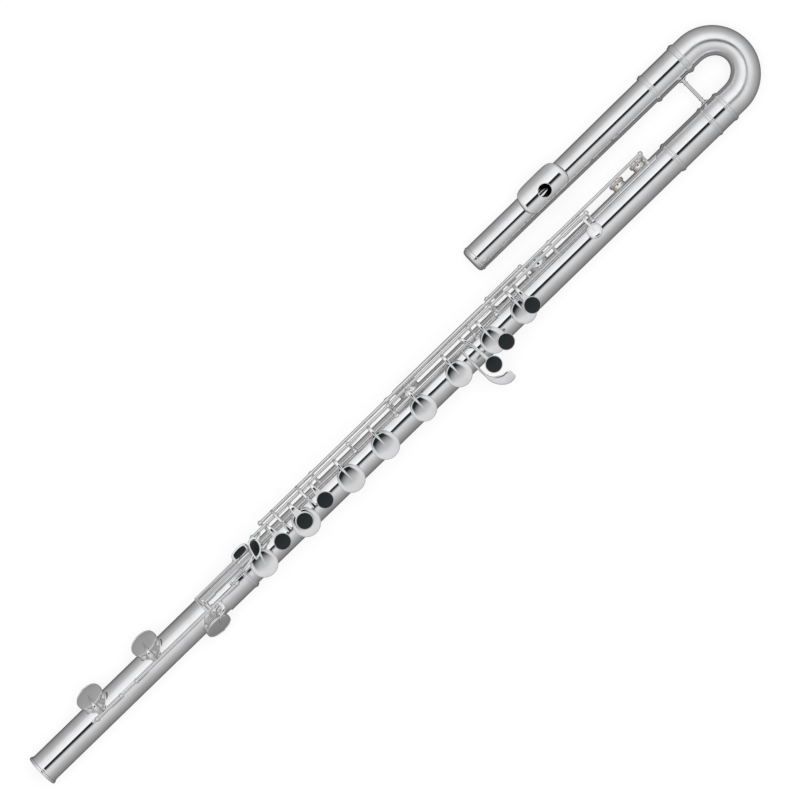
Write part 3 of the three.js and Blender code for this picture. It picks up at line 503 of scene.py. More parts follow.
@dataclass(frozen=True)
class Plate(Finish):
    """Polished plate: bright metal with faint clouding, fine polish lines and soft waviness."""

    clean: Colour = (0.9, 0.9, 0.905)
    clouded: Colour = (0.8, 0.8, 0.8)
    smooth: float = 0.035
    dull: float = 0.075

    def surface(self, ground: Ground) -> dict:
        """The shader's sockets.

        Args:
            ground: What its patterns lie on.

        Returns:
            Values and wires by name.
        """
        veil = ((ground.noise(55.0, 4.0) - 0.42) * 2.6).clamped()
        lines, pits = ground.stretched(0.18, 1.0, 1.0).noise(5200.0), ground.noise(900.0)
        return {
            "Base Color": ground.nodes.mixed(veil, self.clean, self.clouded), "Metallic": 1.0,
            "Roughness": self.smooth + veil * (self.dull - self.smooth) + (lines - 0.5) * 0.02,
            "Normal": ground.relief(lines * 0.6 + pits * 0.4, 0.05, 0.00002),
        }


@dataclass(frozen=True)
class Steel(Finish):
    """Drawn steel, with fine lines along its length."""

    bright: Colour = (0.62, 0.63, 0.65)
    dark: Colour = (0.46, 0.47, 0.49)

    def surface(self, ground: Ground) -> dict:
        """The shader's sockets.

        Args:
            ground: What its patterns lie on.

        Returns:
            Values and wires by name.
        """
        lines = ground.stretched(0.03, 1.0, 1.0).noise(7000.0, 3.0)
        return {
            "Base Color": ground.nodes.mixed(lines, self.dark, self.bright), "Metallic": 1.0,
            "Roughness": 0.2 + lines * 0.16, "Normal": ground.relief(lines, 0.12, 0.00003),
        }


@dataclass(frozen=True)
class Resin(Finish):
    """Polished black resin, a little hazed where fingers rest."""

    black: Colour = (0.006, 0.010, 0.011)
    hazed: Colour = (0.012, 0.018, 0.020)

    def surface(self, ground: Ground) -> dict:
        """The shader's sockets.

        Args:
            ground: What its patterns lie on.

        Returns:
            Values and wires by name.
        """
        haze, scuffs = ground.noise(260.0, 4.0, 0.6), ground.stretched(1.0, 0.2, 1.0).noise(4200.0)
        return {
            "Base Color": ground.nodes.mixed(haze, self.black, self.hazed),
            "Roughness": 0.12 + haze * 0.16 + scuffs * 0.04, "Specular IOR Level": 0.3,
            "Normal": ground.relief(scuffs, 0.06, 0.00002),
        }


@dataclass(frozen=True)
class Skin(Finish):
    """Fish skin stretched over felt: cream, mottled and finely wrinkled."""

    pale: Colour = (0.80, 0.70, 0.46)
    amber: Colour = (0.62, 0.47, 0.24)

    def surface(self, ground: Ground) -> dict:
        """The shader's sockets.

        Args:
            ground: What its patterns lie on.

        Returns:
            Values and wires by name.
        """
        mottle = ground.noise(420.0, 5.0, 0.6)
        wrinkles = ground.stretched(1.0, 0.35, 1.0).noise(2600.0, 3.0)
        return {
            "Base Color": ground.nodes.mixed(mottle, self.pale, self.amber),
            "Roughness": 0.42 + mottle * 0.2, "Coat Weight": 0.15,
            "Normal": ground.relief(wrinkles, 0.35, 0.00006),
        }


@dataclass(frozen=True)
class Cork(Finish):
    """Turned cork: warm brown with dark pores."""

    light: Colour = (0.50, 0.31, 0.15)
    dark: Colour = (0.17, 0.08, 0.035)

    def surface(self, ground: Ground) -> dict:
        """The shader's sockets.

        Args:
            ground: What its patterns lie on.

        Returns:
            Values and wires by name.
        """
        cells = ground.nodes.add("ShaderNodeTexVoronoi", sockets={"Vector": ground.place, "Scale": 900.0})
        pores = ((0.62 - cells) * 1.6).clamped()
        streaks = ground.noise(500.0, 4.0, 0.65)
        shade = (pores * 0.55 + (streaks - 0.35) * 1.2).clamped()
        return {
            "Base Color": ground.nodes.mixed(shade, self.light, self.dark),
            "Roughness": 0.75 + streaks * 0.15, "Normal": ground.relief(1 - pores, 0.6, 0.0001),
        }


@dataclass(frozen=True)
class Backdrop(Finish):
    """The pale studio floor, a white table lit from within."""

    pale: Colour = (0.26, 0.26, 0.26)
    shade: Colour = (0.24, 0.24, 0.24)
    glow: float = 0.79

    def surface(self, ground: Ground) -> dict:
        """The shader's sockets.

        Args:
            ground: What its patterns lie on.

        Returns:
            Values and wires by name.
        """
        return {
            "Base Color": ground.nodes.mixed(ground.noise(3.0), self.pale, self.shade), "Roughness": 0.9,
            "Emission Color": (1.0, 1.0, 1.0, 1.0), "Emission Strength": self.glow,
        }


SILVER = Plate("silver_plate")
SATIN = Plate("silver_plate", "satin", (0.96, 0.96, 0.965), (0.88, 0.88, 0.88), 0.22, 0.29)
# Near-black plate for the bars round the lip plate's ends: painted shade of the gap under its edges.
PAINTED_EDGE_SHADE = Plate("silver_plate", "painted_edge_shade", (0.15, 0.15, 0.155), (0.09, 0.09, 0.09), 0.12, 0.22)
STEEL = Steel("steel")
BLACK = Resin("black_inlay")
SKIN = Skin("pad_skin")
CORK = Cork("cork")
FLOOR = Backdrop("studio_floor")


# The bench

def linked(name: str, data: bpy.types.ID | None) -> Object:
    """Makes an object and adds it to the scene.

    Args:
        name: Its name.
        data: Its mesh, light or camera.

    Returns:
        The object.
    """
    made = bpy.data.objects.new(name, data)
    bpy.context.scene.collection.objects.link(made)
    return made


def faced(mesh: bpy.types.Mesh, parts: Sequence[bpy.types.Mesh], weld: bool = True) -> bpy.types.Mesh:
    """Fills a mesh with the faces of others and turns them outwards.

    Args:
        mesh: The mesh.
        parts: The others, or the mesh itself.
        weld: Whether points that lie together become one.

    Returns:
        The mesh.
    """
    work = bmesh.new()
    for part in parts:
        work.from_mesh(part)
    if weld:
        bmesh.ops.remove_doubles(work, verts=work.verts, dist=WELD)
    bmesh.ops.recalc_face_normals(work, faces=work.faces)
    work.to_mesh(mesh)
    work.free()
    return mesh


@dataclass(frozen=True)
class Bench:
    """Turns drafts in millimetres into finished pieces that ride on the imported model."""

    origin: Vector

    @classmethod
    def laid_out(cls) -> "Bench":
        """Sets the bench up.

        Returns:
            The bench whose origin is the middle of the main tube at the foot's open end.
        """
        foot_low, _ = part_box("foot_tube")
        low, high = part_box("body_receiver")
        return cls(Vector((foot_low.x, (low.y + high.y) / 2, (low.z + high.z) / 2)))

    def rough(self, form: Form) -> Object:
        """Makes a draft an object, still in millimetres, with its faces turned outwards.

        Args:
            form: The draft.

        Returns:
            The object.
        """
        mesh = bpy.data.meshes.new("rough")
        mesh.from_pydata([tuple(point) for point in form.points], [], form.faces)
        return linked("rough", faced(mesh, [mesh]))

    def baked(self, rough: Object) -> Object:
        """Makes an object's modifiers part of its mesh and takes them off.

        Args:
            rough: The object.

        Returns:
            The same object with a plain mesh.
        """
        bpy.context.view_layer.update()
        graph = bpy.context.evaluated_depsgraph_get()
        mesh = bpy.data.meshes.new_from_object(rough.evaluated_get(graph))
        rough.modifiers.clear()
        old, rough.data = rough.data, mesh
        bpy.data.meshes.remove(old)
        return rough

    def cut(self, rough: Object, cutters: Sequence[Form]) -> Object:
        """Cuts forms out of an object, one after another.

        Args:
            rough: The object.
            cutters: The closed forms to cut away.

        Returns:
            The same object.
        """
        for cutter in cutters:
            tool = self.rough(cutter)
            change = rough.modifiers.new("cut", "BOOLEAN")
            change.operation, change.solver, change.object = "DIFFERENCE", "EXACT", tool
            self.baked(rough)
            bpy.data.objects.remove(tool)
        return rough

    def gathered(self, roughs: Sequence[Object]) -> Object:
        """Joins objects into one.

        Args:
            roughs: The objects, in millimetres.

        Returns:
            The whole.
        """
        whole = faced(bpy.data.meshes.new("whole"), [rough.data for rough in roughs], False)
        for rough in roughs:
            bpy.data.objects.remove(rough)
        return linked("whole", whole)

    def drilled(self, tube: Form, holes: Sequence["ToneHole"]) -> Object:
        """Cuts tone holes in a tube and sets their chimneys on it.

        Args:
            tube: The tube's draft.
            holes: Its tone holes.

        Returns:
            The tube.
        """
        cut = self.cut(self.rough(tube), [hole.drill() for hole in holes])
        rims = Form()
        for hole in holes:
            hole.chimney(rims)
        return self.gathered([cut, self.rough(rims)])

    def settle(self, name: str, rough: Object | Form, finish: Finish, body: str,
               *stands_for: str) -> None:
        """Finishes a piece: its place, its shading, its material and the body it rides on.

        Args:
            name: The piece's name.
            rough: Its draft, or its object in millimetres.
            finish: Its finish.
            body: The body that it rides on.
            stands_for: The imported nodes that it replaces.
        """
        made = self.rough(rough) if isinstance(rough, Form) else rough
        made.name = made.data.name = name
        made.data.transform(Matrix.Translation(self.origin) @ Matrix.Scale(MM, 4))
        made.data.shade_smooth()
        made.data.set_sharp_from_angle(angle=SHARP_ANGLE)
        made.data.materials.clear()
        made.data.materials.append(finish.material())
        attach(made, body)
        if stands_for:
            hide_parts(*stands_for)
        log.info("%s rides on %s: %d faces", name, body, len(made.data.polygons))


# Tubing and keywork in common

@dataclass(frozen=True)
class Tubing:
    """The main tube's section and its tone holes' levels above its axis."""

    radius: float = 16.0
    wall: float = 0.6
    chimney: float = 3.0
    chimney_wall: float = 0.5
    gap: float = 0.3
    sleeve_wall: float = 0.6

    @property
    def bore(self) -> float:
        """The radius of the bore."""
        return self.radius - self.wall

    @property
    def rim(self) -> float:
        """The level of the chimneys' rims."""
        return self.radius + self.chimney

    @property
    def sleeve(self) -> float:
        """The inner radius of a sleeve on the tube."""
        return self.radius + self.gap

    @property
    def collar(self) -> float:
        """The outer radius of a sleeve on the tube."""
        return self.sleeve + self.sleeve_wall


@dataclass(frozen=True)
class CupSizes:
    """A key cup's section."""

    depth: float = 3.6
    crown: float = 0.72
    wall: float = 0.6
    pad: float = 2.2
    proud: float = 0.7
    overhang: float = 1.3
    rim_width: float = 0.75
    groove: float = 0.55

    @property
    def top(self) -> float:
        """The level of the cup's rim above the main tube's axis."""
        return TUBE.rim + TUBE.gap + self.depth


TUBE = Tubing()
CUP = CupSizes()
HOLE_SIDES = 64
ROD_RADIUS = 0.95
HINGE_BORE = 1.25
HINGE_RADIUS = 1.75
SLEEVE_RADIUS = 2.5
POST_BALL = 2.6
KEY_GAP = 0.3
POST_GAP = (HINGE_BORE + POST_BALL) / 2 + KEY_GAP
LEVER_WIDTH = 1.3
LEVER_HEIGHT = 0.9
ALONG = Vector((1, 0, 0))
ACROSS = Vector((0, 1, 0))
X_LINE = Matrix.Rotation(math.pi / 2, 4, "Y")


def outward(x: float, degrees: float) -> Matrix:
    """A frame on the main tube whose Z points out at an angle from straight up."""
    return Matrix.Translation((x, 0, 0)) @ Matrix.Rotation(-math.radians(degrees), 4, "X")


def over(degrees: float, x: float, across: float, level: float) -> Vector:
    """A place over the tube, across from an angle's outward line and at a level above the axis."""
    return outward(0, degrees) @ Vector((x, across, level))


def line_place(y: float, z: float) -> Matrix:
    """The frame for bodies spun round a line along the tube, with Z along the line."""
    return Matrix.Translation((0, y, z)) @ X_LINE


def rod(form: Form, place: Matrix, start: float, end: float, radius: float,
        soft: float = 0.2, sides: int = ROD_SIDES) -> Form:
    """Adds a rod with rounded ends to a draft, along a frame's Z line."""
    return form.spun(softened(block(radius, start, end), soft), place, sides)


def turned(outline: Profile, y: float = 0.0) -> Form:
    """A bored body as fine as the tubes, spun round a line along them."""
    return Form().spun(outline, line_place(y, 0), TUBE_SIDES, bored=True)


@dataclass(frozen=True)
class Hinge:
    """A hinge line beside the main tube."""

    rise: float
    degrees: float

    @property
    def reach(self) -> float:
        """Its distance from the tube's axis."""
        return TUBE.radius + self.rise

    def at(self, x: float) -> Vector:
        """The place on the line at a place along the tube."""
        return over(self.degrees, x, 0, self.reach)

    @property
    def line(self) -> Matrix:
        """The frame for bodies spun round the line."""
        place = self.at(0)
        return line_place(place.y, place.z)

    def turned(self, degrees: float) -> Matrix:
        """The turn about the line that brings a closed key to rest."""
        place = Matrix.Translation(self.at(0))
        return place @ Matrix.Rotation(math.radians(degrees), 4, "X") @ place.inverted()

    def tube(self, form: Form, start: float, end: float, radius: float = HINGE_RADIUS) -> None:
        """Adds a hinge tube, with a fine turned ring near each end.

        Args:
            form: The draft.
            start: Where it starts.
            end: Where it ends.
            radius: Its outer radius.
        """
        ring, mark, depth = 0.9, 0.25, 0.08
        outline = [(HINGE_BORE, start), (radius, start)]
        if end - start > 6 * ring:
            for at, way in ((start, 1), (end, -1)):
                marks = [(radius, at + way * ring), (radius - depth, at + way * (ring + mark / 2)),
                         (radius, at + way * (ring + mark))]
                outline += marks if way > 0 else marks[::-1]
        outline += [(radius, end), (HINGE_BORE, end)]
        form.spun(softened(outline, 0.12, 2, closed=True), self.line, ROD_SIDES, bored=True)


class Line(Enum):
    """The flute's hinge lines."""

    STACK = Hinge(14.0, 43.5)
    TRILL = Hinge(14.8, 56.0)
    THUMB = Hinge(13.1, 74.0)
    G_SHARP = Hinge(4.9, 33.0)
    FOOT = Hinge(5.6, -4.0)


@dataclass(frozen=True)
class ToneHole:
    """A tone hole: its place along the tube, its angle and the radius of its cup."""

    x: float
    degrees: float
    cup: float

    @property
    def frame(self) -> Matrix:
        """The frame whose Z points straight out of the hole."""
        return outward(self.x, self.degrees)

    @property
    def radius(self) -> float:
        """The outer radius of the hole's chimney."""
        return self.cup - CUP.overhang

    def _ring(self, radius: float, shell: float, rise: float, level: float | None = None) -> list[Vector]:
        """A ring of points round the hole's outward line.

        Args:
            radius: The ring's radius.
            shell: The radius of the round surface that it follows.
            rise: How far it stands above that surface.
            level: Its level above the axis, where it is flat instead.

        Returns:
            The points.
        """
        points = []
        for turn in turns(HOLE_SIDES):
            side = radius * math.sin(turn)
            height = math.sqrt(max(shell ** 2 - side ** 2, 0.0)) + rise if level is None else level
            points.append(self.frame @ Vector((radius * math.cos(turn), side, height)))
        return points

    def chimney(self, form: Form) -> None:
        """Adds the drawn chimney, with a fillet to the tube and a rolled rim.

        Args:
            form: The draft.
        """
        fillet, outer, inner = 1.1, self.radius, self.radius - TUBE.chimney_wall
        rings = []
        for k in range(6):
            turn = k / 5 * math.pi / 2
            reach = min(outer + fillet * (1 - math.sin(turn)), TUBE.radius - 0.05)
            rings.append(self._ring(reach, TUBE.radius, fillet * (1 - math.cos(turn)) - 0.04))
        bead = [(outer, TUBE.rim - 0.8), (outer + 0.16, TUBE.rim - 0.55), (outer + 0.16, TUBE.rim - 0.2),
                (outer - 0.1, TUBE.rim), (inner + 0.1, TUBE.rim), (inner, TUBE.rim - 0.15)]
        rings += [self._ring(radius, 0, 0, level) for radius, level in bead]
        rings.append(self._ring(inner, TUBE.bore, -0.02))
        form.rings(rings, closed=True)

    def drill(self) -> Form:
        """The form that cuts the hole in the tube's wall, inside the chimney's own wall."""
        outline = block(self.radius - TUBE.chimney_wall / 2, 0.3 * TUBE.bore, TUBE.rim + 1)
        return Form().spun(outline, self.frame, HOLE_SIDES)


# Geometry Nodes

@dataclass(frozen=True)
class NodeTool:
    """A Geometry Nodes tree with named inputs, used on one draft at a time."""

    tree: bpy.types.NodeTree

    @classmethod
    def started(cls, name: str, inputs: dict[str, str]) -> tuple["NodeTool", Nodes, Wire]:
        """Starts a tree.

        Args:
            name: The tree's name.
            inputs: Socket types by the inputs' names.

        Returns:
            The tool, its nodes and a wire from its input node.
        """
        tree = bpy.data.node_groups.new(name, "GeometryNodeTree")
        for label, kind in {"Geometry": "Geometry", **inputs}.items():
            tree.interface.new_socket(label, in_out="INPUT", socket_type=f"NodeSocket{kind}")
        tree.interface.new_socket("Geometry", in_out="OUTPUT", socket_type="NodeSocketGeometry")
        nodes = Nodes(tree)
        return cls(tree), nodes, nodes.add("NodeGroupInput")

    def finished(self, nodes: Nodes, shape: Wire, finish: Wire) -> "NodeTool":
        """Ends the tree in Realize Instances and Set Material.

        Args:
            nodes: The tree's nodes.
            shape: The geometry so far.
            finish: The material.

        Returns:
            This tool.
        """
        real = nodes.add("GeometryNodeRealizeInstances", sockets={"Geometry": shape})
        dressed = nodes.add("GeometryNodeSetMaterial", sockets={"Geometry": real, "Material": finish})
        nodes.add("NodeGroupOutput", sockets={"Geometry": dressed})
        return self

    def used(self, bench: Bench, rough: Object, values: dict[str, object]) -> None:
        """Runs the tree on an object and makes the result its plain mesh.

        Args:
            bench: The bench.
            rough: The object.
            values: The inputs' values by name.
        """
        change = rough.modifiers.new(self.tree.name, "NODES")
        change.node_group = self.tree
        sockets = {item.name: item.identifier for item in self.tree.interface.items_tree
                   if item.in_out == "INPUT"}
        for name, value in values.items():
            change[sockets[name]] = value
        bench.baked(rough)


def fitting_tool() -> NodeTool:
    """The tree that sets one fitting on every point of a draft, leaning and turned about X.

    Returns:
        The tool.
    """
    tool, nodes, given = NodeTool.started("fittings_on_points", {
        "Fitting": "Object", "Lean": "Float", "Spread": "Float", "Size": "Float", "Seed": "Int",
        "Finish": "Material"})
    fitting = nodes.add("GeometryNodeObjectInfo", sockets={"Object": given["Fitting"]},
                        output="Geometry")
    chance = nodes.add("FunctionNodeRandomValue", {"data_type": "FLOAT"},
                       {2: -1.0, 3: 1.0, "Seed": given["Seed"]}, output=1)
    lean = given["Lean"] + given["Spread"] * chance
    turn = nodes.add("ShaderNodeCombineXYZ", sockets={"X": lean})
    placed = nodes.add("GeometryNodeInstanceOnPoints", sockets={
        "Points": given["Geometry"], "Instance": fitting, "Rotation": turn,
        "Scale": given["Size"]})
    return tool.finished(nodes, placed, given["Finish"])


def bend_tool() -> NodeTool:
    """The tree that draws a tube round two legs and an arc, narrower across at the arc's apex.

    Returns:
        The tool.
    """
    tool, nodes, given = NodeTool.started("drawn_bend", {
        "Start": "Float", "Lower Leg": "Float", "Upper Leg": "Float", "Arc": "Float",
        "Reach": "Float", "Spacing": "Float", "Radius": "Float", "Draw In": "Float",
        "Rings": "Int", "Sides": "Int", "Finish": "Material"})
    lower, arc = given["Lower Leg"], given["Arc"]
    end = nodes.add("ShaderNodeCombineXYZ", sockets={"X": lower + arc + given["Upper Leg"]})
    line = nodes.add("GeometryNodeCurvePrimitiveLine", sockets={"End": end})
    line = nodes.add("GeometryNodeResampleCurve", sockets={"Curve": line, "Count": given["Rings"]})
    position = nodes.add("GeometryNodeInputPosition")
    way = nodes.add("ShaderNodeSeparateXYZ", sockets={"Vector": position})
    share = ((way - lower) / arc).clamped()
    turn = share * math.pi
    sine = turn.math("SINE")
    before = (lower - way).math("MAXIMUM", 0.0)
    after = (way - lower - arc).math("MAXIMUM", 0.0)
    centre = nodes.add("ShaderNodeCombineXYZ", sockets={
        "X": given["Start"] + lower + given["Reach"] * sine - before - after,
        "Y": given["Spacing"] * 0.5 * (1 - turn.math("COSINE"))})
    pinch = given["Draw In"] / given["Radius"] * sine * sine
    line = nodes.add("GeometryNodeStoreNamedAttribute", {"data_type": "FLOAT", "domain": "POINT"},
                     {"Geometry": line, "Name": "pinch", "Value": pinch})
    line = nodes.add("GeometryNodeStoreNamedAttribute", {"data_type": "FLOAT_VECTOR", "domain": "POINT"},
                     {"Geometry": line, "Name": "centre", "Value": centre})
    line = nodes.add("GeometryNodeSetPosition", sockets={"Geometry": line, "Position": centre})
    ring = nodes.add("GeometryNodeCurvePrimitiveCircle", sockets={
        "Resolution": given["Sides"], "Radius": given["Radius"]})
    tube = nodes.add("GeometryNodeCurveToMesh", sockets={"Curve": line, "Profile Curve": ring})
    kept = nodes.add("GeometryNodeInputNamedAttribute", {"data_type": "FLOAT_VECTOR"}, {"Name": "centre"})
    drawn = nodes.add("GeometryNodeInputNamedAttribute", {"data_type": "FLOAT"}, {"Name": "pinch"})
    pull = nodes.add("ShaderNodeCombineXYZ", sockets={"X": drawn, "Y": drawn})
    inward = nodes.add("ShaderNodeVectorMath", {"operation": "SUBTRACT"}, {0: kept, 1: position})
    inward = nodes.add("ShaderNodeVectorMath", {"operation": "MULTIPLY"}, {0: inward, 1: pull})
    tube = nodes.add("GeometryNodeSetPosition", sockets={"Geometry": tube, "Offset": inward})
    return tool.finished(nodes, tube, given["Finish"])


# Keys

@dataclass(frozen=True)
class Target:
    """The place that an arm reaches, in the frame of an angle round the tube."""

    x: float
    degrees: float
    across: float
    level: float


@dataclass(frozen=True)
class ArmShape:
    """An arm's half widths and half heights from its hinge to its tip, and the way it takes."""

    widths: tuple[float, float, float, float]
    heights: tuple[float, float, float, float]
    bends: tuple[tuple[float, float], ...] = ((0.95, 0.7), (0.75, 1.04), (-0.08, 1.0))
    squareness: float = 2.8


class Arm(Enum):
    """The kinds of arm."""

    POINTED = ArmShape((2.4, 1.9, 1.75, 0.2), (0.85, 0.8, 0.75, 0.3))
    SIDE = ArmShape((2.4, 2.0, 1.8, 0.25), (0.85, 0.8, 0.75, 0.3),
                    ((1.0, 0.47), (0.8, 0.88), (-0.08, 1.0)))
    FLARED = ArmShape((2.2, 1.7, 2.1, 6.2), (0.85, 0.8, 0.8, 0.5))
    LONG = ArmShape((2.2, 1.5, 1.35, 2.2), (0.85, 0.8, 0.8, 0.5))
    RAISED = ArmShape((2.3, 2.0, 1.9, 5.2), (0.85, 0.8, 0.8, 0.5))
    BELL = ArmShape((2.6, 2.2, 2.4, 5.2), (0.85, 0.8, 0.6, 0.3))


BUTTON_RADIUS = 8.8
BUTTON_DEPTH = 2.4
BUTTON_LIP = 0.6
INLAY_DEPTH = 1.2
TOUCH_DEPTH = 2.0
STACK_ANGLE = -17.0


@dataclass
class Key:
    """A key in the making. It is drafted closed and then turned about its hinge line to rest."""

    name: str
    hinge: Hinge
    rest: float = 0.0
    metal: Form = field(default_factory=Form)
    pads: dict[str, Form] = field(default_factory=dict)
    inlay: Form | None = None

    def tube(self, start: float, end: float, radius: float = HINGE_RADIUS) -> "Key":
        """Adds a hinge tube from one place to another."""
        self.hinge.tube(self.metal, start, end, radius)
        return self

    def cup(self, hole: ToneHole, arm_at: float | None = None, arm: Arm | None = Arm.POINTED,
            pad: str = "pad") -> "Key":
        """Adds a cup with its pad and arm.

        Args:
            hole: The tone hole under it.
            arm_at: Where the arm leaves the hinge tube, or None for beside the hole.
            arm: The kind of arm, or None where another piece carries the cup.
            pad: The end of its pad's name.

        Returns:
            This key.
        """
        radius, top, closed = hole.cup, CUP.top, TUBE.rim + TUBE.gap
        seat, low = closed + CUP.pad + TUBE.gap, closed + CUP.proud
        groove = CUP.groove * min(radius / 14, 1)
        inner, valley = radius - CUP.wall, radius - CUP.rim_width - 0.35
        wall = softened([(0, seat), (inner, seat), (inner, low), (radius, low), (radius, top - 0.4),
                         (radius - CUP.rim_width, top), (valley + 0.1, top - groove),
                         (valley, top - groove)], 0.2)
        shares = (0.985, 0.965, 0.94, 0.91, 0.88, 0.84, 0.8, 0.74, 0.66, 0.5, 0.35, 0.2, 0.1, 0.0)
        dome = [(valley * share, top - groove + CUP.crown * (1 - share ** 3)) for share in shares]
        self.metal.spun(wall + dome, hole.frame, 72)
        felt = softened(block(inner - TUBE.gap, closed, closed + CUP.pad), 0.7, 5)
        self.pads[f"{self.name}_{pad}"] = Form().spun(felt, hole.frame, HOLE_SIDES)
        if arm:
            self.arm(hole.x if arm_at is None else arm_at,
                     Target(hole.x, hole.degrees, 0.0, top + 0.3), arm)
        return self

    def arm(self, x: float, target: Target, kind: Arm) -> None:
        """Adds an arm that rises from the hinge tube and then crosses to its target.

        Args:
            x: Where it leaves the hinge tube.
            target: Where it goes.
            kind: The kind of arm.
        """
        shape = kind.value
        turn = math.radians(self.hinge.degrees - target.degrees)
        across, level = self.hinge.reach * math.sin(turn), self.hinge.reach * math.cos(turn)
        stations = [Station(self.hinge.at(x), shape.widths[0], shape.heights[0])]
        for i, (way, rise) in enumerate(shape.bends):
            place = over(target.degrees, _lerp(x, target.x, i / (len(shape.bends) - 1)),
                         _lerp(target.across, across, way), _lerp(level, target.level, rise))
            stations.append(Station(place, shape.widths[i + 1], shape.heights[i + 1]))
        self.metal.bar(stations, ALONG, squareness=shape.squareness)

    def lever(self, stations: Sequence[tuple[float, float, float, float]], across: Vector,
              from_hinge: bool = True) -> None:
        """Adds a lever.

        Args:
            stations: Places with their half widths as shares of a plain lever's.
            across: The way that its width lies.
            from_hinge: Whether it starts on the hinge line.
        """
        whole = [Station(Vector(place), share * LEVER_WIDTH, LEVER_HEIGHT) for *place, share in stations]
        if from_hinge:
            first = stations[0]
            whole.insert(0, Station(self.hinge.at(first[0]), first[3] * LEVER_WIDTH, LEVER_HEIGHT))
        self.metal.bar(whole, across, steps=9)

    def button(self, frame: Matrix) -> "Key":
        """Adds a finger button with its black inlay.

        Args:
            frame: The frame of the middle of its base.

        Returns:
            This key.
        """
        well, base = BUTTON_RADIUS - BUTTON_LIP, BUTTON_DEPTH - INLAY_DEPTH
        dish = [(0, 0), (BUTTON_RADIUS - 2.2, 0), (BUTTON_RADIUS, 0.9),
                (BUTTON_RADIUS, BUTTON_DEPTH - 0.4), (well, BUTTON_DEPTH), (well, base), (0, base)]
        self.metal.spun(softened(dish, 0.12), frame, HOLE_SIDES)
        edge, floor = well - 0.12, base + TUBE.gap
        disc = softened([(0, floor), (edge, floor), (edge, BUTTON_DEPTH), (edge - 0.8, BUTTON_DEPTH + 0.12)],
                        0.2)
        disc += [(edge * share, BUTTON_DEPTH + TUBE.gap * (1 - share ** 2) + 0.02)
                 for share in (0.75, 0.5, 0.25, 0.0)]
        self.inlay = Form().spun(disc, frame, HOLE_SIDES)
        return self

    def touch(self, outline: Profile, base: float) -> None:
        """Adds a level touch with an inlaid middle.

        Args:
            outline: Its outline's corners.
            base: The level of its underside.
        """
        edge, top = rounded_outline(outline), base + TOUCH_DEPTH
        rings = [[Vector((*point, level)) for point in scaled_outline(edge, share)]
                 for share, level in ((0.94, base), (0.99, base + 0.3), (1.0, top - 0.7), (0.97, top - 0.4),
                                      (0.75, top), (0.73, top - 0.1), (0.725, top - INLAY_DEPTH))]
        self.metal.capped(rings)
        self.inlay = Form().slab(scaled_outline(edge, 0.71), top - INLAY_DEPTH + TUBE.gap, top + 0.08, 0.3,
                                 TUBE.gap - 0.08)

    def settle(self, bench: Bench, piece: str, kind: str = "key") -> None:
        """Turns the key to rest and finishes its pieces.

        Args:
            bench: The bench.
            piece: The end of its metal piece's name.
            kind: The end of the name of its packed metal.
        """
        rest = self.hinge.turned(self.rest)
        for node, form in self.pads.items():
            bench.settle(f"{node}_disc", form.placed(rest), SKIN, self.name, node)
        if self.inlay:
            node = f"{self.name}_inlay"
            bench.settle(f"{node}_disc", self.inlay.placed(rest), BLACK, self.name, node)
        bench.settle(f"{self.name}_{piece}", self.metal.placed(rest), SILVER, self.name,
                     f"{self.name}_{kind}")


def _lerp(start: float, end: float, part: float) -> float:
    """The value at a share of the way between two."""
    return start + (end - start) * part


# Frame of the keywork

def strap(start: float, end: float, low: float, high: float) -> Form:
    """A strap bent round the tube, with rounded edges and rounded ends.

    Args:
        start: Where it starts along the tube.
        end: Where it ends.
        low: Its first edge's angle.
        high: Its second edge's angle.

    Returns:
        The draft.
    """
    inner, depth = TUBE.sleeve, 1.2
    steps, soft, rim = 14, 0.15, 0.45
    middle, half = math.radians((low + high) / 2), math.radians((high - low) / 2)
    ends = [1 - math.cos(k / 6 * math.pi / 2) for k in range(1, 7)]
    tip = half * inner
    places = [(start + tip * share, math.sqrt(1 - (1 - share) ** 2)) for share in ends]
    places = [(x, max(share, 0.12)) for x, share in places] + [(start + tip + HOLD, 1.0)]
    places += [(start + end - x, share) for x, share in reversed(places)]
    rings = []
    for x, share in places:
        reach = half * share
        edge = soft / inner
        outer = [(middle - reach + 2 * reach * k / steps) for k in range(steps + 1)]
        outer[0], outer[-1] = outer[0] + edge, outer[-1] - edge
        ring = [(inner + rim + (depth - rim) * (1 - ((turn - middle) / reach) ** 2), turn) for turn in outer]
        ring += [(inner + rim - soft, middle + reach), (inner + soft, middle + reach)]
        ring += [(inner, turn) for turn in reversed(outer)]
        ring += [(inner + soft, middle - reach), (inner + rim - soft, middle - reach)]
        rings.append([Vector((x, radius * math.sin(turn), radius * math.cos(turn)))
                      for radius, turn in ring])
    return Form().capped(rings)


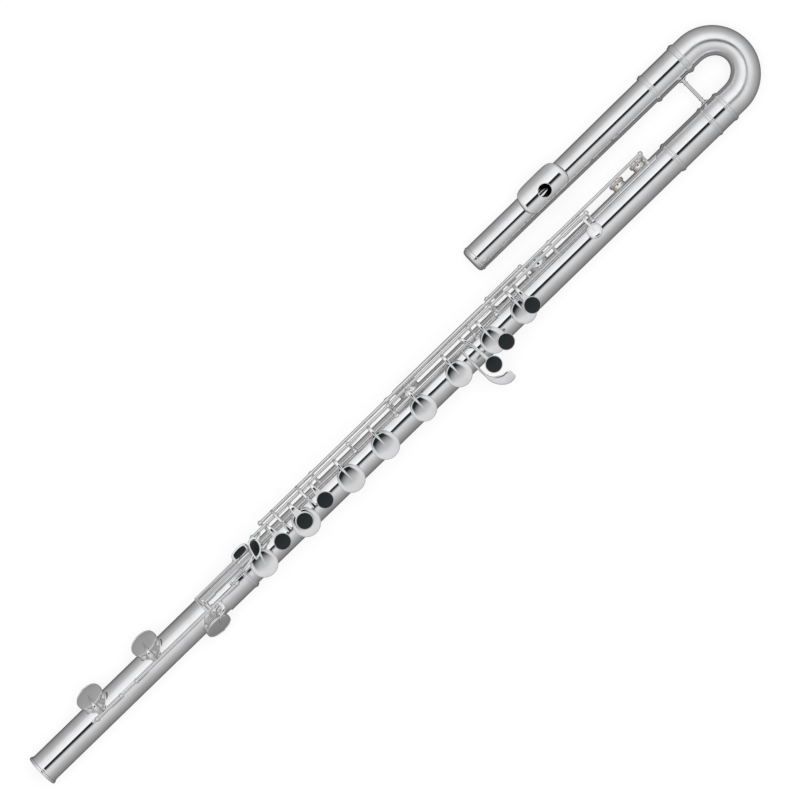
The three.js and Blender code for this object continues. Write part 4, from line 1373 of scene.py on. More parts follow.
@dataclass
class Fittings:
    """Posts, pivot screws and needle springs, set along the hinge lines by one node tree."""

    bench: Bench
    tool: NodeTool = field(default_factory=fitting_tool)

    @staticmethod
    def post(reach: float, bore: float, seat: float) -> Form:
        """A post about its hinge line: flared base, turned stem with a ring, bored ball.

        Args:
            reach: The hinge line's distance from the tube's axis.
            bore: The radius of the hole through its ball.
            seat: The level that its base stands on.

        Returns:
            The draft.
        """
        thin, base, low = 1.3, 3.0, seat - reach
        top = -(bore + POST_BALL) / 2
        stem = [(0, low), (base, low), (base, low + 0.35)]
        stem += [(thin + (base - thin) * (1 - math.sin(k * math.pi / 10)) ** 1.3, low + 0.35 + 1.7 * k / 5)
                 for k in range(1, 6)]
        if top - low > 5:
            ring = low + 2.9
            stem += [(thin, ring), (thin + 0.5, ring + 0.3), (thin + 0.5, ring + 0.6), (thin, ring + 0.9)]
        stem += [(thin, top - 0.4), (thin + 0.35, top + 0.2), (0, top + 0.3)]
        waist = (bore + POST_BALL) / 2
        ball = [(bore, -waist)]
        ball += [(math.sqrt(max(POST_BALL ** 2 - level ** 2, waist ** 2)), level)
                 for level in (waist * (k / 6 - 1) for k in range(13))]
        ball += [(bore, waist)]
        form = Form().spun(stem, Matrix(), 28)
        return form.spun(softened(ball, 0.12, 2, closed=True), X_LINE, 32, bored=True)

    def posts(self, hinge: Hinge, places: Sequence[float], bore: float = HINGE_BORE,
              seat: float = 16.9) -> Object:
        """Posts along a hinge line, with their holes' radius and the level of their seats."""
        return self.along(self.post(hinge.reach, bore, seat), hinge, places, SILVER)

    @staticmethod
    def screw(way: float) -> Form:
        """A slotted screw head in the end of a post's ball, facing along X or against it.

        Args:
            way: 1 to face along X, -1 to face against it.

        Returns:
            The draft.
        """
        radius, proud, slot, depth = 1.55, 0.75, 0.22, 0.3
        low = (HINGE_BORE + POST_BALL) / 2 - 0.2
        top = low + 0.2 + proud
        form = Form()
        rod(form, X_LINE, low, top - depth, radius, 0.1)
        limit = math.acos(slot / radius)
        for side in (0.0, math.pi):
            rim = [(radius * math.cos(t), radius * math.sin(t))
                   for t in (side - limit + 2 * limit * k / 16 for k in range(17))]
            rings = [[X_LINE @ Vector((x * scale, y * scale, level)) for x, y in rim]
                     for level, scale in ((top - depth - 0.05, 1.0), (top - 0.1, 1.0), (top, 0.93))]
            form.rings(rings)
        return form.placed(Matrix.Rotation(math.pi if way < 0 else 0.0, 4, "Z"))

    @staticmethod
    def spring(way: float) -> Form:
        """A needle spring out of a post, beside the hinge tube.

        Args:
            way: 1 to run along X, -1 to run against it.

        Returns:
            The draft.
        """
        length = 15.0
        rows = [(0.0, -2.15, -1.2, 0.34), (way * length * 0.4, -2.25, -1.3, 0.3),
                (way * length * 0.8, -2.3, -1.0, 0.22), (way * length, -2.35, -0.8, 0.12)]
        line = smooth_path(rows, 6)
        rings = [[Vector((x, y + radius * math.cos(t), z + radius * math.sin(t)))
                  for t in turns(10)] for x, y, z, radius in line]
        return Form().rings(rings)

    def along(self, fitting: Form, hinge: Hinge, places: Sequence[float], finish: Finish,
              spread: float = 0.0, seed: int = 3) -> Object:
        """Sets a fitting at places along a hinge line.

        Args:
            fitting: The fitting about its hinge line, standing up.
            hinge: The hinge line.
            places: Where the fittings go.
            finish: Their finish.
            spread: How far each may turn about the line, in radians.
            seed: The seed of those turns.

        Returns:
            The fittings as one object, in millimetres.
        """
        pattern = self.bench.rough(fitting)
        points = bpy.data.meshes.new("places")
        points.from_pydata([tuple(hinge.at(x)) for x in places], [], [])
        rough = linked("fittings", points)
        self.tool.used(self.bench, rough, {
            "Fitting": pattern, "Lean": -math.radians(hinge.degrees), "Spread": spread, "Size": 1.0,
            "Seed": seed, "Finish": finish.material()})
        bpy.data.objects.remove(pattern)
        return rough


# Tubes

BEAD_WIDTH = 6.0


def beaded(start: float, end: float, inner: float, radius: float, beads: Sequence[float]) -> Profile:
    """The outline of a sleeve with rolled beads, as radius and place.

    Args:
        start: Where it starts.
        end: Where it ends.
        inner: Its inner radius.
        radius: Its outer radius.
        beads: Where each bead starts.

    Returns:
        The closed outline.
    """
    outline = [(inner, start), (radius, start)]
    for at in beads:
        outline += bead(at, radius)
    outline += [(radius, end), (inner, end)]
    return _without_doubles(softened(outline, 0.15, 2, closed=True))


def bead(at: float, radius: float) -> Profile:
    """A rolled bead between two fine steps.

    Args:
        at: Where it starts.
        radius: The radius beside it.

    Returns:
        Its points.
    """
    rise, end = 1.0, at + BEAD_WIDTH
    step = rise * 0.28
    points = [(radius, at + 0.25), (radius + step, at + 0.55), (radius + step, at + 1.35)]
    span = (at + 1.5, end - 1.5)
    for k in range(9):
        turn = math.pi * k / 8
        points.append((radius + step * 0.8 + (rise - step * 0.8) * math.sin(turn),
                       _lerp(*span, 0.5 - 0.5 * math.cos(turn))))
    points += [(radius + step, end - 1.35), (radius + step, end - 0.55), (radius, end - 0.25)]
    return points


def _without_doubles(profile: Profile) -> Profile:
    """The profile without points that repeat the one before."""
    return [point for i, point in enumerate(profile) if math.dist(point, profile[i - 1]) > WELD]


@dataclass
class Assembly:
    """A sub-assembly of the flute, whose own pieces ride on one body."""

    bench: Bench
    BODY = ""

    def piece(self, name: str, rough: Object | Form, *stands_for: str, finish: Finish = SILVER) -> None:
        """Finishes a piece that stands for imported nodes, if for any."""
        self.bench.settle(name, rough, finish, self.BODY, *stands_for)

    def holes(self) -> list[ToneHole]:
        """The assembly's tone holes."""
        return [value for value in vars(self).values() if isinstance(value, ToneHole)]


@dataclass
class FootJoint(Assembly):
    """The foot joint: tube, socket, three keys for the right little finger, and their posts."""

    fittings: Fittings
    BODY = "foot"
    length: float = 287.0
    tube_end: float = 252.7
    socket_start: float = 249.0
    socket_radius: float = 17.3
    rim_flare: float = 1.5
    rim_length: float = 6.0
    low_c: ToneHole = ToneHole(87.506, 61.0, 14.704)
    low_c_sharp: ToneHole = ToneHole(163.504, 61.0, 14.704)
    e_flat: ToneHole = ToneHole(228.997, -62.0, 14.256)
    posts: tuple[float, ...] = (78.49, 111.5, 133.0, 239.5)
    end_post: float = 271.99
    end_seat: float = 17.1
    strap_ends: tuple[float, float] = (71.75, 248.7)
    bar_level: float = 20.96
    open_angle: float = 10.0

    def build(self) -> None:
        """Builds every piece of the foot joint."""
        self.tubes()
        self.frame()
        self.low_c_key()
        self.low_c_sharp_key()
        self.e_flat_key()

    def tubes(self) -> None:
        """The tube with its rolled rim and chimneys, and the beaded socket."""
        bore, flare = TUBE.bore, TUBE.radius + self.rim_flare
        outline = [(bore, 0.15), (bore + 0.4, 0), (flare - 0.5, 0)]
        outline += [(flare - 0.55 + 0.55 * math.sin(t), 1.5 - 1.5 * math.cos(t))
                    for t in (math.pi * k / 10 for k in range(1, 10))]
        outline += [(flare - 0.7, 3.1), (TUBE.radius + 0.45, 3.3), (TUBE.radius + 0.3, 4.6),
                    (TUBE.radius, self.rim_length), (TUBE.radius, self.tube_end), (bore, self.tube_end)]
        tube = self.bench.drilled(turned(outline), self.holes())
        self.piece("foot_tube_with_chimneys", tube, "foot_tube")
        outline = beaded(self.socket_start, self.length, TUBE.sleeve, self.socket_radius,
                         [self.length - BEAD_WIDTH])
        self.piece("foot_socket_sleeve", turned(outline), "foot_socket")

    def frame(self) -> None:
        """The strap, the posts, their pivot screws and the needle springs."""
        hinge, fit = Line.FOOT.value, self.fittings
        self.piece("foot_strap", strap(*self.strap_ends, -8, 4), "foot_rib")
        posts = [fit.posts(hinge, self.posts), fit.posts(hinge, [self.end_post], seat=self.end_seat)]
        self.piece("foot_posts", self.bench.gathered(posts))
        near = fit.along(fit.screw(-1.0), hinge, [self.posts[0]], STEEL, 1.2, 5)
        far = fit.along(fit.screw(1.0), hinge, [self.end_post], STEEL, 1.2, 8)
        springs = [fit.along(fit.spring(way), hinge, [x], STEEL)
                   for x, way in ((self.posts[1], -1.0), (self.posts[2], 1.0), (self.end_post, -1.0))]
        self.piece("foot_screws_and_springs", self.bench.gathered([near, far, *springs]), finish=STEEL)

    def low_c_key(self) -> None:
        """The low C key with its long lever and the roller between two ears."""
        key = Key("low_c", Line.FOOT.value, self.open_angle)
        rod(key.metal, key.hinge.line, 76.49, 273.99, ROD_RADIUS)
        key.tube(80.715, 109.275).tube(234.2, 237.2).cup(self.low_c, 85.01)
        cross, bar = 235.77, (12.0, self.bar_level)
        key.lever([(cross, 6.0, 22.1, 1.15), (cross, *bar, 1)], ALONG)
        key.lever([(cross - 1.2, *bar, 0.9), (248.0, *bar, 0.95), (261.17, *bar, 1), (285.85, *bar, 1)],
                  ACROSS, from_hinge=False)
        line = line_place(*bar)
        for start in (284.8, 303.99):
            rod(key.metal, line, start, start + 1.2, 1.35, 0.25)
        rod(key.metal, line, 285.4, 304.6, 0.8)
        key.settle(self.bench, "cup_and_lever")
        half, middle = 8.69, 294.995
        barrel = [(1.1, middle - half), (1.75, middle - half), (1.95, middle - half + 0.5),
                  (1.7, middle - half + 0.8)]
        barrel += [(1.95 + 0.25 * math.cos(t * math.pi / 2), middle + t * (half - 1.2))
                   for t in (k / 6 - 1 for k in range(13))]
        barrel += [(1.7, middle + half - 0.8), (1.95, middle + half - 0.5), (1.75, middle + half),
                   (1.1, middle + half)]
        roller = Form().spun(barrel, line, 40, bored=True).placed(key.hinge.turned(self.open_angle))
        self.bench.settle("low_c_touch_roller", roller, SILVER, "low_c_roller", "low_c_roller")

    def low_c_sharp_key(self) -> None:
        """The low C sharp key with its inlaid touch."""
        key = Key("low_c_sharp", Line.FOOT.value, self.open_angle)
        key.tube(135.225, 233.31).cup(self.low_c_sharp, 160.49)
        cross, bar = 232.01, (16.32, self.bar_level)
        key.lever([(cross, 6.0, 22.2, 1.15), (cross, *bar, 1)], ALONG)
        key.lever([(cross - 1.2, *bar, 0.9), (261.17, *bar, 1), (292.74, *bar, 1.2)], ACROSS,
                  from_hinge=False)
        key.touch([(286.0, 15.68), (288.43, 15.2), (302.01, 15.2), (306.0, 16.8), (306.0, 22.08),
                   (302.01, 24.0), (292.74, 24.0), (288.43, 23.2), (286.0, 20.8)], self.bar_level)
        key.settle(self.bench, "cup_and_lever")

    def e_flat_key(self) -> None:
        """The E flat key with its raised, curved touch."""
        key = Key("e_flat", Line.FOOT.value)
        key.tube(241.725, 269.765).cup(self.e_flat, 245.99)
        key.lever([(267.0, 3.5, 21.44, 1.1)], ALONG)
        key.lever([(265.76, 3.5, 21.44, 1), (274.08, 3.5, 22.72, 1), (290.01, 4.0, 31.52, 1),
                   (299.91, 5.6, 33.6, 1.2), (308.52, 8.0, 33.92, 2)], ACROSS, from_hinge=False)
        key.touch([(302.99, 2.0), (306.0, 2.0), (310.99, 4.0), (315.99, 9.0), (318.0, 17.0),
                   (315.99, 21.0), (309.99, 21.0), (307.0, 18.0), (302.99, 4.8)], 33.28)
        key.settle(self.bench, "cup_and_lever")


@dataclass
class BodyJoint(Assembly):
    """The body joint: tube, receiver, key frame and every key that it carries."""

    fittings: Fittings
    BODY = "body"
    start: float = 253.0
    end: float = 884.0
    receiver: tuple[float, float] = (878.0, 935.0)
    d: ToneHole = ToneHole(305.498, STACK_ANGLE, 14.0)
    e: ToneHole = ToneHole(364.007, STACK_ANGLE, 14.496)
    f: ToneHole = ToneHole(426.476, STACK_ANGLE, 14.0)
    f_sharp: ToneHole = ToneHole(473.992, STACK_ANGLE, 14.2)
    g: ToneHole = ToneHole(527.005, STACK_ANGLE, 13.2)
    g_upper: ToneHole = ToneHole(575.999, STACK_ANGLE, 13.296)
    a: ToneHole = ToneHole(623.988, STACK_ANGLE, 13.296)
    b_flat: ToneHole = ToneHole(666.008, STACK_ANGLE, 13.0)
    c: ToneHole = ToneHole(771.975, 6.0, 7.84)
    g_sharp: ToneHole = ToneHole(529.015, 92.0, 13.0)
    thumb_b: ToneHole = ToneHole(709.979, 98.0, 12.0)
    d_trill: ToneHole = ToneHole(821.973, 100.0, 8.48)
    d_sharp_trill: ToneHole = ToneHole(849.987, 100.0, 8.48)
    stack_posts: tuple[float, ...] = (315.01, 347.22, 381.5, 447.99, 503.01, 614.47, 644.02, 778.0)
    trill_posts: tuple[float, ...] = (330.5, 401.0, 506.02, 646.98, 731.02, 858.02)
    g_sharp_posts: tuple[float, float] = (503.01, 614.47)
    thumb_posts: tuple[float, float] = (647.98, 694.02)
    side_seat: float = 16.4
    strap_ends: tuple[float, float] = (305.32, 869.13)
    b_flat_end: float = 672.51
    stack_open: float = -8.0
    thumb_open: float = 8.0

    def build(self) -> None:
        """Builds every piece of the body joint."""
        self.tubes()
        self.frame()
        self.rods()
        self.lower_stack()
        self.upper_stack()
        self.g_sharp_key()
        self.trill_keys()
        self.thumb_keys()

    def tubes(self) -> None:
        """The tube with its chimneys, and the beaded receiver of the bend."""
        outline = softened([(TUBE.bore, self.start), (TUBE.radius, self.start), (TUBE.radius, self.end),
                            (TUBE.bore, self.end)], 0.2, closed=True)
        tube = self.bench.drilled(turned(outline), self.holes())
        self.piece("body_tube_with_chimneys", tube, "body_tube")
        start, end = self.receiver
        outline = beaded(start, end, TUBE.sleeve, TUBE.collar, [start, end - BEAD_WIDTH])
        self.piece("bend_receiver", turned(outline), "body_receiver")

    def frame(self) -> None:
        """The strap with its rooms for the side holes, the posts, their screws and springs."""
        fit = self.fittings
        plain = self.bench.rough(strap(*self.strap_ends, 38.5, 70))
        rooms = [Form().spun(block(hole.radius + 1.0, 0, 22), hole.frame, HOLE_SIDES)
                 for hole in (self.g_sharp, self.thumb_b, self.d_trill, self.d_sharp_trill)]
        self.piece("body_strap", self.bench.cut(plain, rooms), "body_rib")
        stack, trill, thumb, g_sharp = (line.value for line in (Line.STACK, Line.TRILL, Line.THUMB,
                                                                Line.G_SHARP))
        posts = [
            fit.posts(stack, self.stack_posts),
            fit.posts(trill, (self.trill_posts[0], self.trill_posts[-1])),
            fit.posts(trill, self.trill_posts[1:-1], HINGE_RADIUS + KEY_GAP),
            fit.posts(thumb, self.thumb_posts, seat=self.side_seat),
            fit.posts(g_sharp, self.g_sharp_posts, seat=self.side_seat),
        ]
        self.piece("body_posts", self.bench.gathered(posts))
        lines = ((stack, self.stack_posts), (trill, self.trill_posts), (thumb, self.thumb_posts),
                 (g_sharp, self.g_sharp_posts))
        steel = []
        for seed, (hinge, places) in enumerate(lines):
            steel.append(fit.along(fit.screw(-1.0), hinge, [places[0]], STEEL, 1.4, seed))
            steel.append(fit.along(fit.screw(1.0), hinge, [places[-1]], STEEL, 1.4, seed + 9))
        steel.append(fit.along(fit.spring(1.0), stack, self.stack_posts[1:5], STEEL))
        steel.append(fit.along(fit.spring(-1.0), stack, self.stack_posts[6:], STEEL))
        self.piece("body_screws_and_springs", self.bench.gathered(steel), finish=STEEL)

    def rods(self) -> None:
        """The steel rods that the keys turn on."""
        split = self.stack_posts[5]
        lines = (("lower_stack_rod", Line.STACK, self.stack_posts[0] - POST_BALL, split - KEY_GAP),
                 ("upper_stack_rod", Line.STACK, split + KEY_GAP, self.stack_posts[-1] + POST_BALL),
                 ("thumb_rod", Line.THUMB, self.thumb_posts[0] - POST_BALL, self.thumb_posts[1] + POST_BALL),
                 ("g_sharp_rod", Line.G_SHARP, self.g_sharp_posts[0] - POST_BALL,
                  self.g_sharp_posts[1] + POST_BALL))
        for name, line, start, end in lines:
            form = rod(Form(), line.value.line, start, end, ROD_RADIUS, 0.25)
            self.piece(f"{name}_turned", form, name, finish=STEEL)

    def _span(self, index: int) -> tuple[float, float]:
        """The hinge line between two neighbouring posts of the stack."""
        return self.stack_posts[index] + POST_GAP, self.stack_posts[index + 1] - POST_GAP

    def _key(self, name: str) -> Key:
        """A key of the stack in the making."""
        return Key(name, Line.STACK.value, self.stack_open)

    @staticmethod
    def _beside(x: float, across: float, level: float) -> Matrix:
        """The frame of a button beside the row of cups."""
        return outward(x, STACK_ANGLE) @ Matrix.Translation((0, across, level))

    def _button(self, key: Key, x: float, across: float = 3.52, level: float = 21.52,
                arm_at: float | None = None, arm: Arm = Arm.FLARED) -> None:
        """Adds a button beside the row of cups to a key, with an arm from a place on its hinge line."""
        key.button(self._beside(x, across, level))
        key.arm(x if arm_at is None else arm_at, Target(x, STACK_ANGLE, across, level - 0.1), arm)

    def lower_stack(self) -> None:
        """The D, E, F, F sharp and G keys, played by the right hand."""
        key = self._key("d").tube(*self._span(0)).cup(self.d, 321.99)
        self._button(key, 333.98)
        key.settle(self.bench, "cup_and_button")
        key = self._key("e").tube(*self._span(1)).cup(self.e, arm=None)
        key.arm(self.e.x, Target(self.e.x, STACK_ANGLE, 8.2, CUP.top + 0.25), Arm.BELL)
        seat = self._beside(self.e.x, 3.04, CUP.top)
        ring = softened([(BUTTON_RADIUS - 0.4, -0.1), (BUTTON_RADIUS + 0.6, -0.1),
                         (BUTTON_RADIUS + 0.6, 0.3), (BUTTON_RADIUS - 0.4, 0.85)], 0.2, closed=True)
        key.metal.spun(ring, seat, 72, bored=True)
        key.button(seat).settle(self.bench, "cup_and_bell")
        key = self._key("f").tube(*self._span(2)).cup(self.f)
        self._button(key, 393.03)
        key.settle(self.bench, "cup_and_button")
        self._key("f_sharp").tube(*self._span(3)).cup(self.f_sharp).settle(self.bench, "cup")
        key = self._key("g").tube(*self._span(4))
        key.cup(self.g, pad="lower_pad").cup(self.g_upper, pad="upper_pad")
        self._button(key, 607.5, -16.96, 20.96, 601.0, Arm.LONG)
        key.settle(self.bench, "cups_and_button")

    def upper_stack(self) -> None:
        """The A, B flat and C keys, played by the left hand."""
        key = self._key("a").tube(*self._span(5)).cup(self.a)
        key.button(self._beside(632.03, -8.96, CUP.top)).settle(self.bench, "cup_and_button")
        key = self._key("b_flat").tube(self._span(6)[0], self.b_flat_end)
        key.cup(self.b_flat).settle(self.bench, "cup")
        key = self._key("c").tube(self.b_flat_end + KEY_GAP, self._span(6)[1]).cup(self.c)
        key.tube(745.03, self.c.x, SLEEVE_RADIUS)
        self._button(key, 675.52, 0.0, 28.16, arm=Arm.RAISED)
        key.settle(self.bench, "cup_and_button")

    def g_sharp_key(self) -> None:
        """The G sharp key, with its spoon for the left little finger."""
        key = Key("g_sharp", Line.G_SHARP.value)
        key.tube(505.235, 612.245, SLEEVE_RADIUS).cup(self.g_sharp, arm=Arm.SIDE)
        x = 593.49
        key.lever([(x, 2.0, 21.6, 1), (x, -12.0, 20.96, 1), (x + 0.48, -24.96, 15.04, 1),
                   (x + 2.5, -32.96, 12.48, 2.2), (x + 7.04, -38.4, 11.52, 3.6),
                   (x + 12.48, -41.92, 11.2, 4.5), (x + 18.56, -43.04, 11.04, 4.4),
                   (x + 22.0, -43.2, 11.04, 2.8)], Vector((1, 1, 0.35)))
        key.settle(self.bench, "cup_and_spoon")

    def trill_keys(self) -> None:
        """The two trill keys: one on its own shaft, one on the tube round that shaft."""
        hinge = Line.TRILL.value
        first, last = self.trill_posts[0], self.trill_posts[-1]
        touches = (346.99, 381.38)
        split, upper = sum(touches) / 2, (self.d_trill.x + self.d_sharp_trill.x) / 2
        way = ((26.56, 23.2, 1.1), (21.12, 27.6, 1.0), (12.0, 29.5, 1.0), (8.0, 29.1, 1.2),
               (3.5, 28.5, 1.8), (-0.4, 28.3, 2.1))
        sharp = Key("d_sharp_trill", hinge)
        rod(sharp.metal, hinge.line, first - POST_BALL, last + POST_BALL, ROD_RADIUS)
        sharp.tube(first + POST_GAP, split - KEY_GAP).tube(upper + KEY_GAP, last - POST_GAP)
        sharp.lever([(touches[0], *place) for place in way], ALONG)
        sharp.cup(self.d_sharp_trill).settle(self.bench, "shaft")
        plain = Key("d_trill", hinge).tube(split, upper).tube(515.78, 640.95, SLEEVE_RADIUS)
        plain.lever([(touches[1], *place) for place in way], ALONG)
        plain.cup(self.d_trill).settle(self.bench, "tube")

    def thumb_keys(self) -> None:
        """The thumb's two touches: the B key with its cup, and the B flat lever beside it."""
        hinge = Line.THUMB.value
        split = 670.97
        way = ((27.2, 0.8, 3.0), (24.8, -7.2, 4.6), (19.52, -13.6, 4.6))
        key = Key("thumb_b", hinge, self.thumb_open)
        key.tube(split + KEY_GAP, self.thumb_posts[1] - POST_GAP).cup(self.thumb_b, arm=None)
        x = 686.04
        key.lever([(x + 0.96, 27.52, 6.24, 1.2), (x + 4.96, 24.96, 0.96, 1.2), (x + 16.0, 23.2, -2.4, 1.2),
                   (x + 24.0, 23.04, -3.2, 0.8)], Vector((0, 0, 1)))
        middle = (split + KEY_GAP + x) / 2
        key.lever([(middle, *place) for place in way], ALONG)
        key.settle(self.bench, "cup_and_touch")
        start = self.thumb_posts[0] + POST_GAP
        flat = Key("thumb_b_flat", hinge, self.thumb_open).tube(start, split)
        middle = (start + split) / 2
        flat.lever([(middle, *place) for place in way], ALONG)
        flat.settle(self.bench, "touch", "lever")


@dataclass
class Bend(Assembly):
    """The bend: drawn tube, collar, head socket and the brace between the legs."""

    BODY = "bend"
    start: float = 888.0
    arc_start: float = 967.0
    upper_end: float = 952.3
    reach: float = 34.3
    spacing: float = 65.5
    apex_radius: float = 14.4
    collar: tuple[float, float] = (935.3, 956.0)
    socket: tuple[float, float, float] = (909.0, 952.0, 958.0)
    socket_inner: float = 15.1
    socket_wall: float = 0.95
    brace_x: float = 941.3

    def build(self) -> None:
        """Builds every piece of the bend."""
        self.tube()
        self.collars()
        self.brace()

    def tube(self) -> None:
        """The drawn tube: a node tree sweeps it, and a wall is then set inside its skin."""
        rough = linked("bend", bpy.data.meshes.new("bend"))
        bend_tool().used(self.bench, rough, {
            "Start": self.start, "Lower Leg": self.arc_start - self.start,
            "Upper Leg": self.arc_start - self.upper_end, "Arc": 110.0, "Reach": self.reach,
            "Spacing": self.spacing, "Radius": TUBE.radius, "Draw In": TUBE.radius - self.apex_radius,
            "Rings": 150, "Sides": 96, "Finish": SATIN.material()})
        faced(rough.data, [rough.data])
        wall = rough.modifiers.new("wall", "SOLIDIFY")
        wall.thickness, wall.offset, wall.use_even_offset = TUBE.wall, -1.0, True
        self.piece("bend_tube", self.bench.baked(rough), "u_bend", finish=SATIN)

    def collars(self) -> None:
        """The beaded collar of the lower leg and the socket that holds the head joint."""
        start, end = self.collar
        outline = beaded(start, end, TUBE.sleeve, TUBE.collar, [end - BEAD_WIDTH])
        self.piece("bend_leg_collar", turned(outline), "bend_collar")
        start, step, end = self.socket
        inner, wide = self.socket_inner, TUBE.collar
        outer = inner + self.socket_wall
        outline = [(inner, start), (outer, start), *bead(start, outer), (outer, step - 1.2),
                   (wide, step - 0.4), *bead(step, wide), (wide, end), (TUBE.sleeve, end),
                   (TUBE.sleeve, step), (inner, step)]
        outline = _without_doubles(softened(outline, 0.15, 2, closed=True))
        self.piece("head_joint_socket", turned(outline, self.spacing), "head_socket")

    def brace(self) -> None:
        """The turned brace: flared feet that follow the sleeves, and two rings."""
        low, high = TUBE.sleeve + 0.9, self.spacing - (self.socket_inner + self.socket_wall) - 0.3
        foot, half = 4.5, 2.0
        foot_points = [(0.0, 0.0), (foot, 0.0), (foot, 0.4)]
        foot_points += [(half + (foot - half) * (1 - math.sin(k * math.pi / 12)) ** 1.4, 0.4 + k * 0.45)
                        for k in range(1, 7)]
        foot_points += [(half, foot), (half + 0.7, foot + 0.35), (half + 0.7, foot + 0.9),
                        (half, foot + 1.25)]
        profile = [(radius, low + level) for radius, level in foot_points]
        profile += [(radius, high - level) for radius, level in reversed(foot_points)]
        place = Matrix.Translation((self.brace_x, 0, 0)) @ Matrix.Rotation(-math.pi / 2, 4, "X")
        self.piece("bend_brace_turned", Form().spun(profile, place, 40), "bend_brace")


@dataclass
class HeadJoint(Assembly):
    """The head joint: tapered tube, lip plate on its riser, stopper and crown."""

    BODY = "head"
    spacing: float = 65.5
    crown_start: float = 670.0
    end: float = 951.7
    radius: float = 14.8
    crown_radius: float = 13.9
    taper: tuple[float, float] = (740.8, 871.9)
    mouth_x: float = 764.7
    mouth: tuple[float, float] = (7.0, 6.75)
    plate_length: float = 55.6
    plate_angles: tuple[float, float] = (-70.0, 68.0)
    plate_rise: float = 3.0
    plate_wall: float = 0.8
    cork: tuple[float, float] = (716.7, 738.7)
    screw_radius: float = 2.5
    sides: int = 96

    def build(self) -> None:
        """Builds every piece of the head joint."""
        self.tube()
        self.lip_plate()
        self.stopper()
        self.crown()

    @property
    def line(self) -> Matrix:
        """The frame for bodies spun round the head tube's axis."""
        return line_place(self.spacing, 0)

    def radius_at(self, x: float) -> float:
        """The head tube's outer radius at a place along it."""
        part = (x - self.taper[0]) / (self.taper[1] - self.taper[0])
        return _lerp(self.crown_radius, self.radius, min(max(part, 0.0), 1.0))

    def tube(self) -> None:
        """The tube with its slow taper and the hole under the riser."""
        places = [self.crown_start, *(_lerp(*self.taper, k / 8) for k in range(9)), self.end]
        outside = [(self.radius_at(x), x) for x in places]
        inside = [(radius - TUBE.wall, x) for radius, x in reversed(outside)]
        form = turned(softened(outside + inside, 0.15, 2, closed=True), self.spacing)
        drill = Form().spun(block(self.mouth[0] + 0.25, 4, self.radius + 4),
                            Matrix.Translation((self.mouth_x, self.spacing, 0)), 72)
        tube = self.bench.cut(self.bench.rough(form), [drill])
        self.piece("head_joint_tube", tube, "head_tube")

    def _lip(self, part: float, width: float, lift: float) -> Vector:
        """A point of the lip plate.

        Args:
            part: Its share of half the plate's length, from the mouth hole.
            width: Its share of the plate's half width, negative towards the lips.
            lift: Its height above the plate's underside.

        Returns:
            The point.
        """
        low, high = (math.radians(angle) for angle in self.plate_angles)
        turn = high * width if width > 0 else -low * width
        hug = math.sqrt(max(1 - part ** 16, 0.0))
        rise = self.plate_rise * min(max(1 - turn / low, 0.0), 1.8) * hug
        x = self.mouth_x + part * self.plate_length / 2
        radius = self.radius_at(x) + TUBE.gap + rise + lift
        return Vector((x, self.spacing + radius * math.sin(turn), radius * math.cos(turn)))

    @staticmethod
    def _rim(turn: float) -> tuple[float, float]:
        """The lip plate's rim in its own shares: full towards the far side, round towards the lips."""
        way, side = math.cos(turn), math.sin(turn)
        return math.copysign(abs(way) ** (0.4 if side > 0 else 1.3), way), side

    def _mouth_edge(self, turn: float, spread: float) -> tuple[float, float]:
        """The mouth hole's edge in the lip plate's own shares.

        Args:
            turn: The way round the hole, in radians.
            spread: How much wider than the hole the edge lies.

        Returns:
            The shares of half the plate's length and of its half width.
        """
        part = (self.mouth[0] + spread) * math.cos(turn) / (self.plate_length / 2)
        side = (self.mouth[1] + spread) * math.sin(turn)
        width = 0.0
        for _ in range(12):
            point = self._lip(part, width, self.plate_wall)
            radius = math.hypot(point.y - self.spacing, point.z)
            angle = math.asin(max(min(side / radius, 1.0), -1.0))
            limit = math.radians(self.plate_angles[1] if angle > 0 else -self.plate_angles[0])
            width = angle / limit
        return part, width

    def _lip_ring(self, share: float, lift: float) -> list[Vector]:
        """A ring of the lip plate.

        Args:
            share: Its share of the way from the mouth hole to the rim.
            lift: Its height above the plate's underside.

        Returns:
            The ring's points.
        """
        points = []
        for turn in turns(self.sides):
            near = self._mouth_edge(turn, 0.12)
            part, width = (_lerp(a, b, share) for a, b in zip(near, self._rim(turn)))
            points.append(self._lip(part, width, lift))
        return points

    def lip_plate(self) -> None:
        """The lip plate with a smooth rim, its mouth hole, the riser under it, and dark bars that paint
        shade at its ends.
        """
        wall = self.plate_wall
        shares = (0.0, 0.04, 0.12, 0.25, 0.4, 0.55, 0.7, 0.8, 0.86, 0.9, 0.93, 0.95, 0.965, 0.98, 0.99)
        levels = [(share, 0.0) for share in shares]
        levels += [(0.996, 0.12 * wall), (1.0, 0.5 * wall), (0.996, 0.88 * wall)]
        levels += [(share, wall) for share in reversed(shares[1:])]
        levels += [(0.012, wall - 0.02), (0.0, wall - 0.14)]
        plate = Form().rings([self._lip_ring(*level) for level in levels], closed=True)
        plate.rings(self._riser_rings(), closed=True)
        self.piece("lip_plate_and_riser", plate, "lip_plate")
        # Dark bars along both ends of the plate paint the shade and dark reflection under its edges.
        edges = Form()
        for middle in (0, 180):
            stations = []
            for k in range(15):
                part, width = self._rim(math.radians(middle + 7.5 * (k - 7)))
                thick = 0.1 + 0.42 * math.cos((k - 7) / 7 * math.pi / 2)
                stations.append(Station(self._lip(part, width, wall / 2), thick, thick))
            edges.bar(stations, steps=3, squareness=2.0)
        self.piece("lip_plate_rolled_edges", edges, finish=PAINTED_EDGE_SHADE)

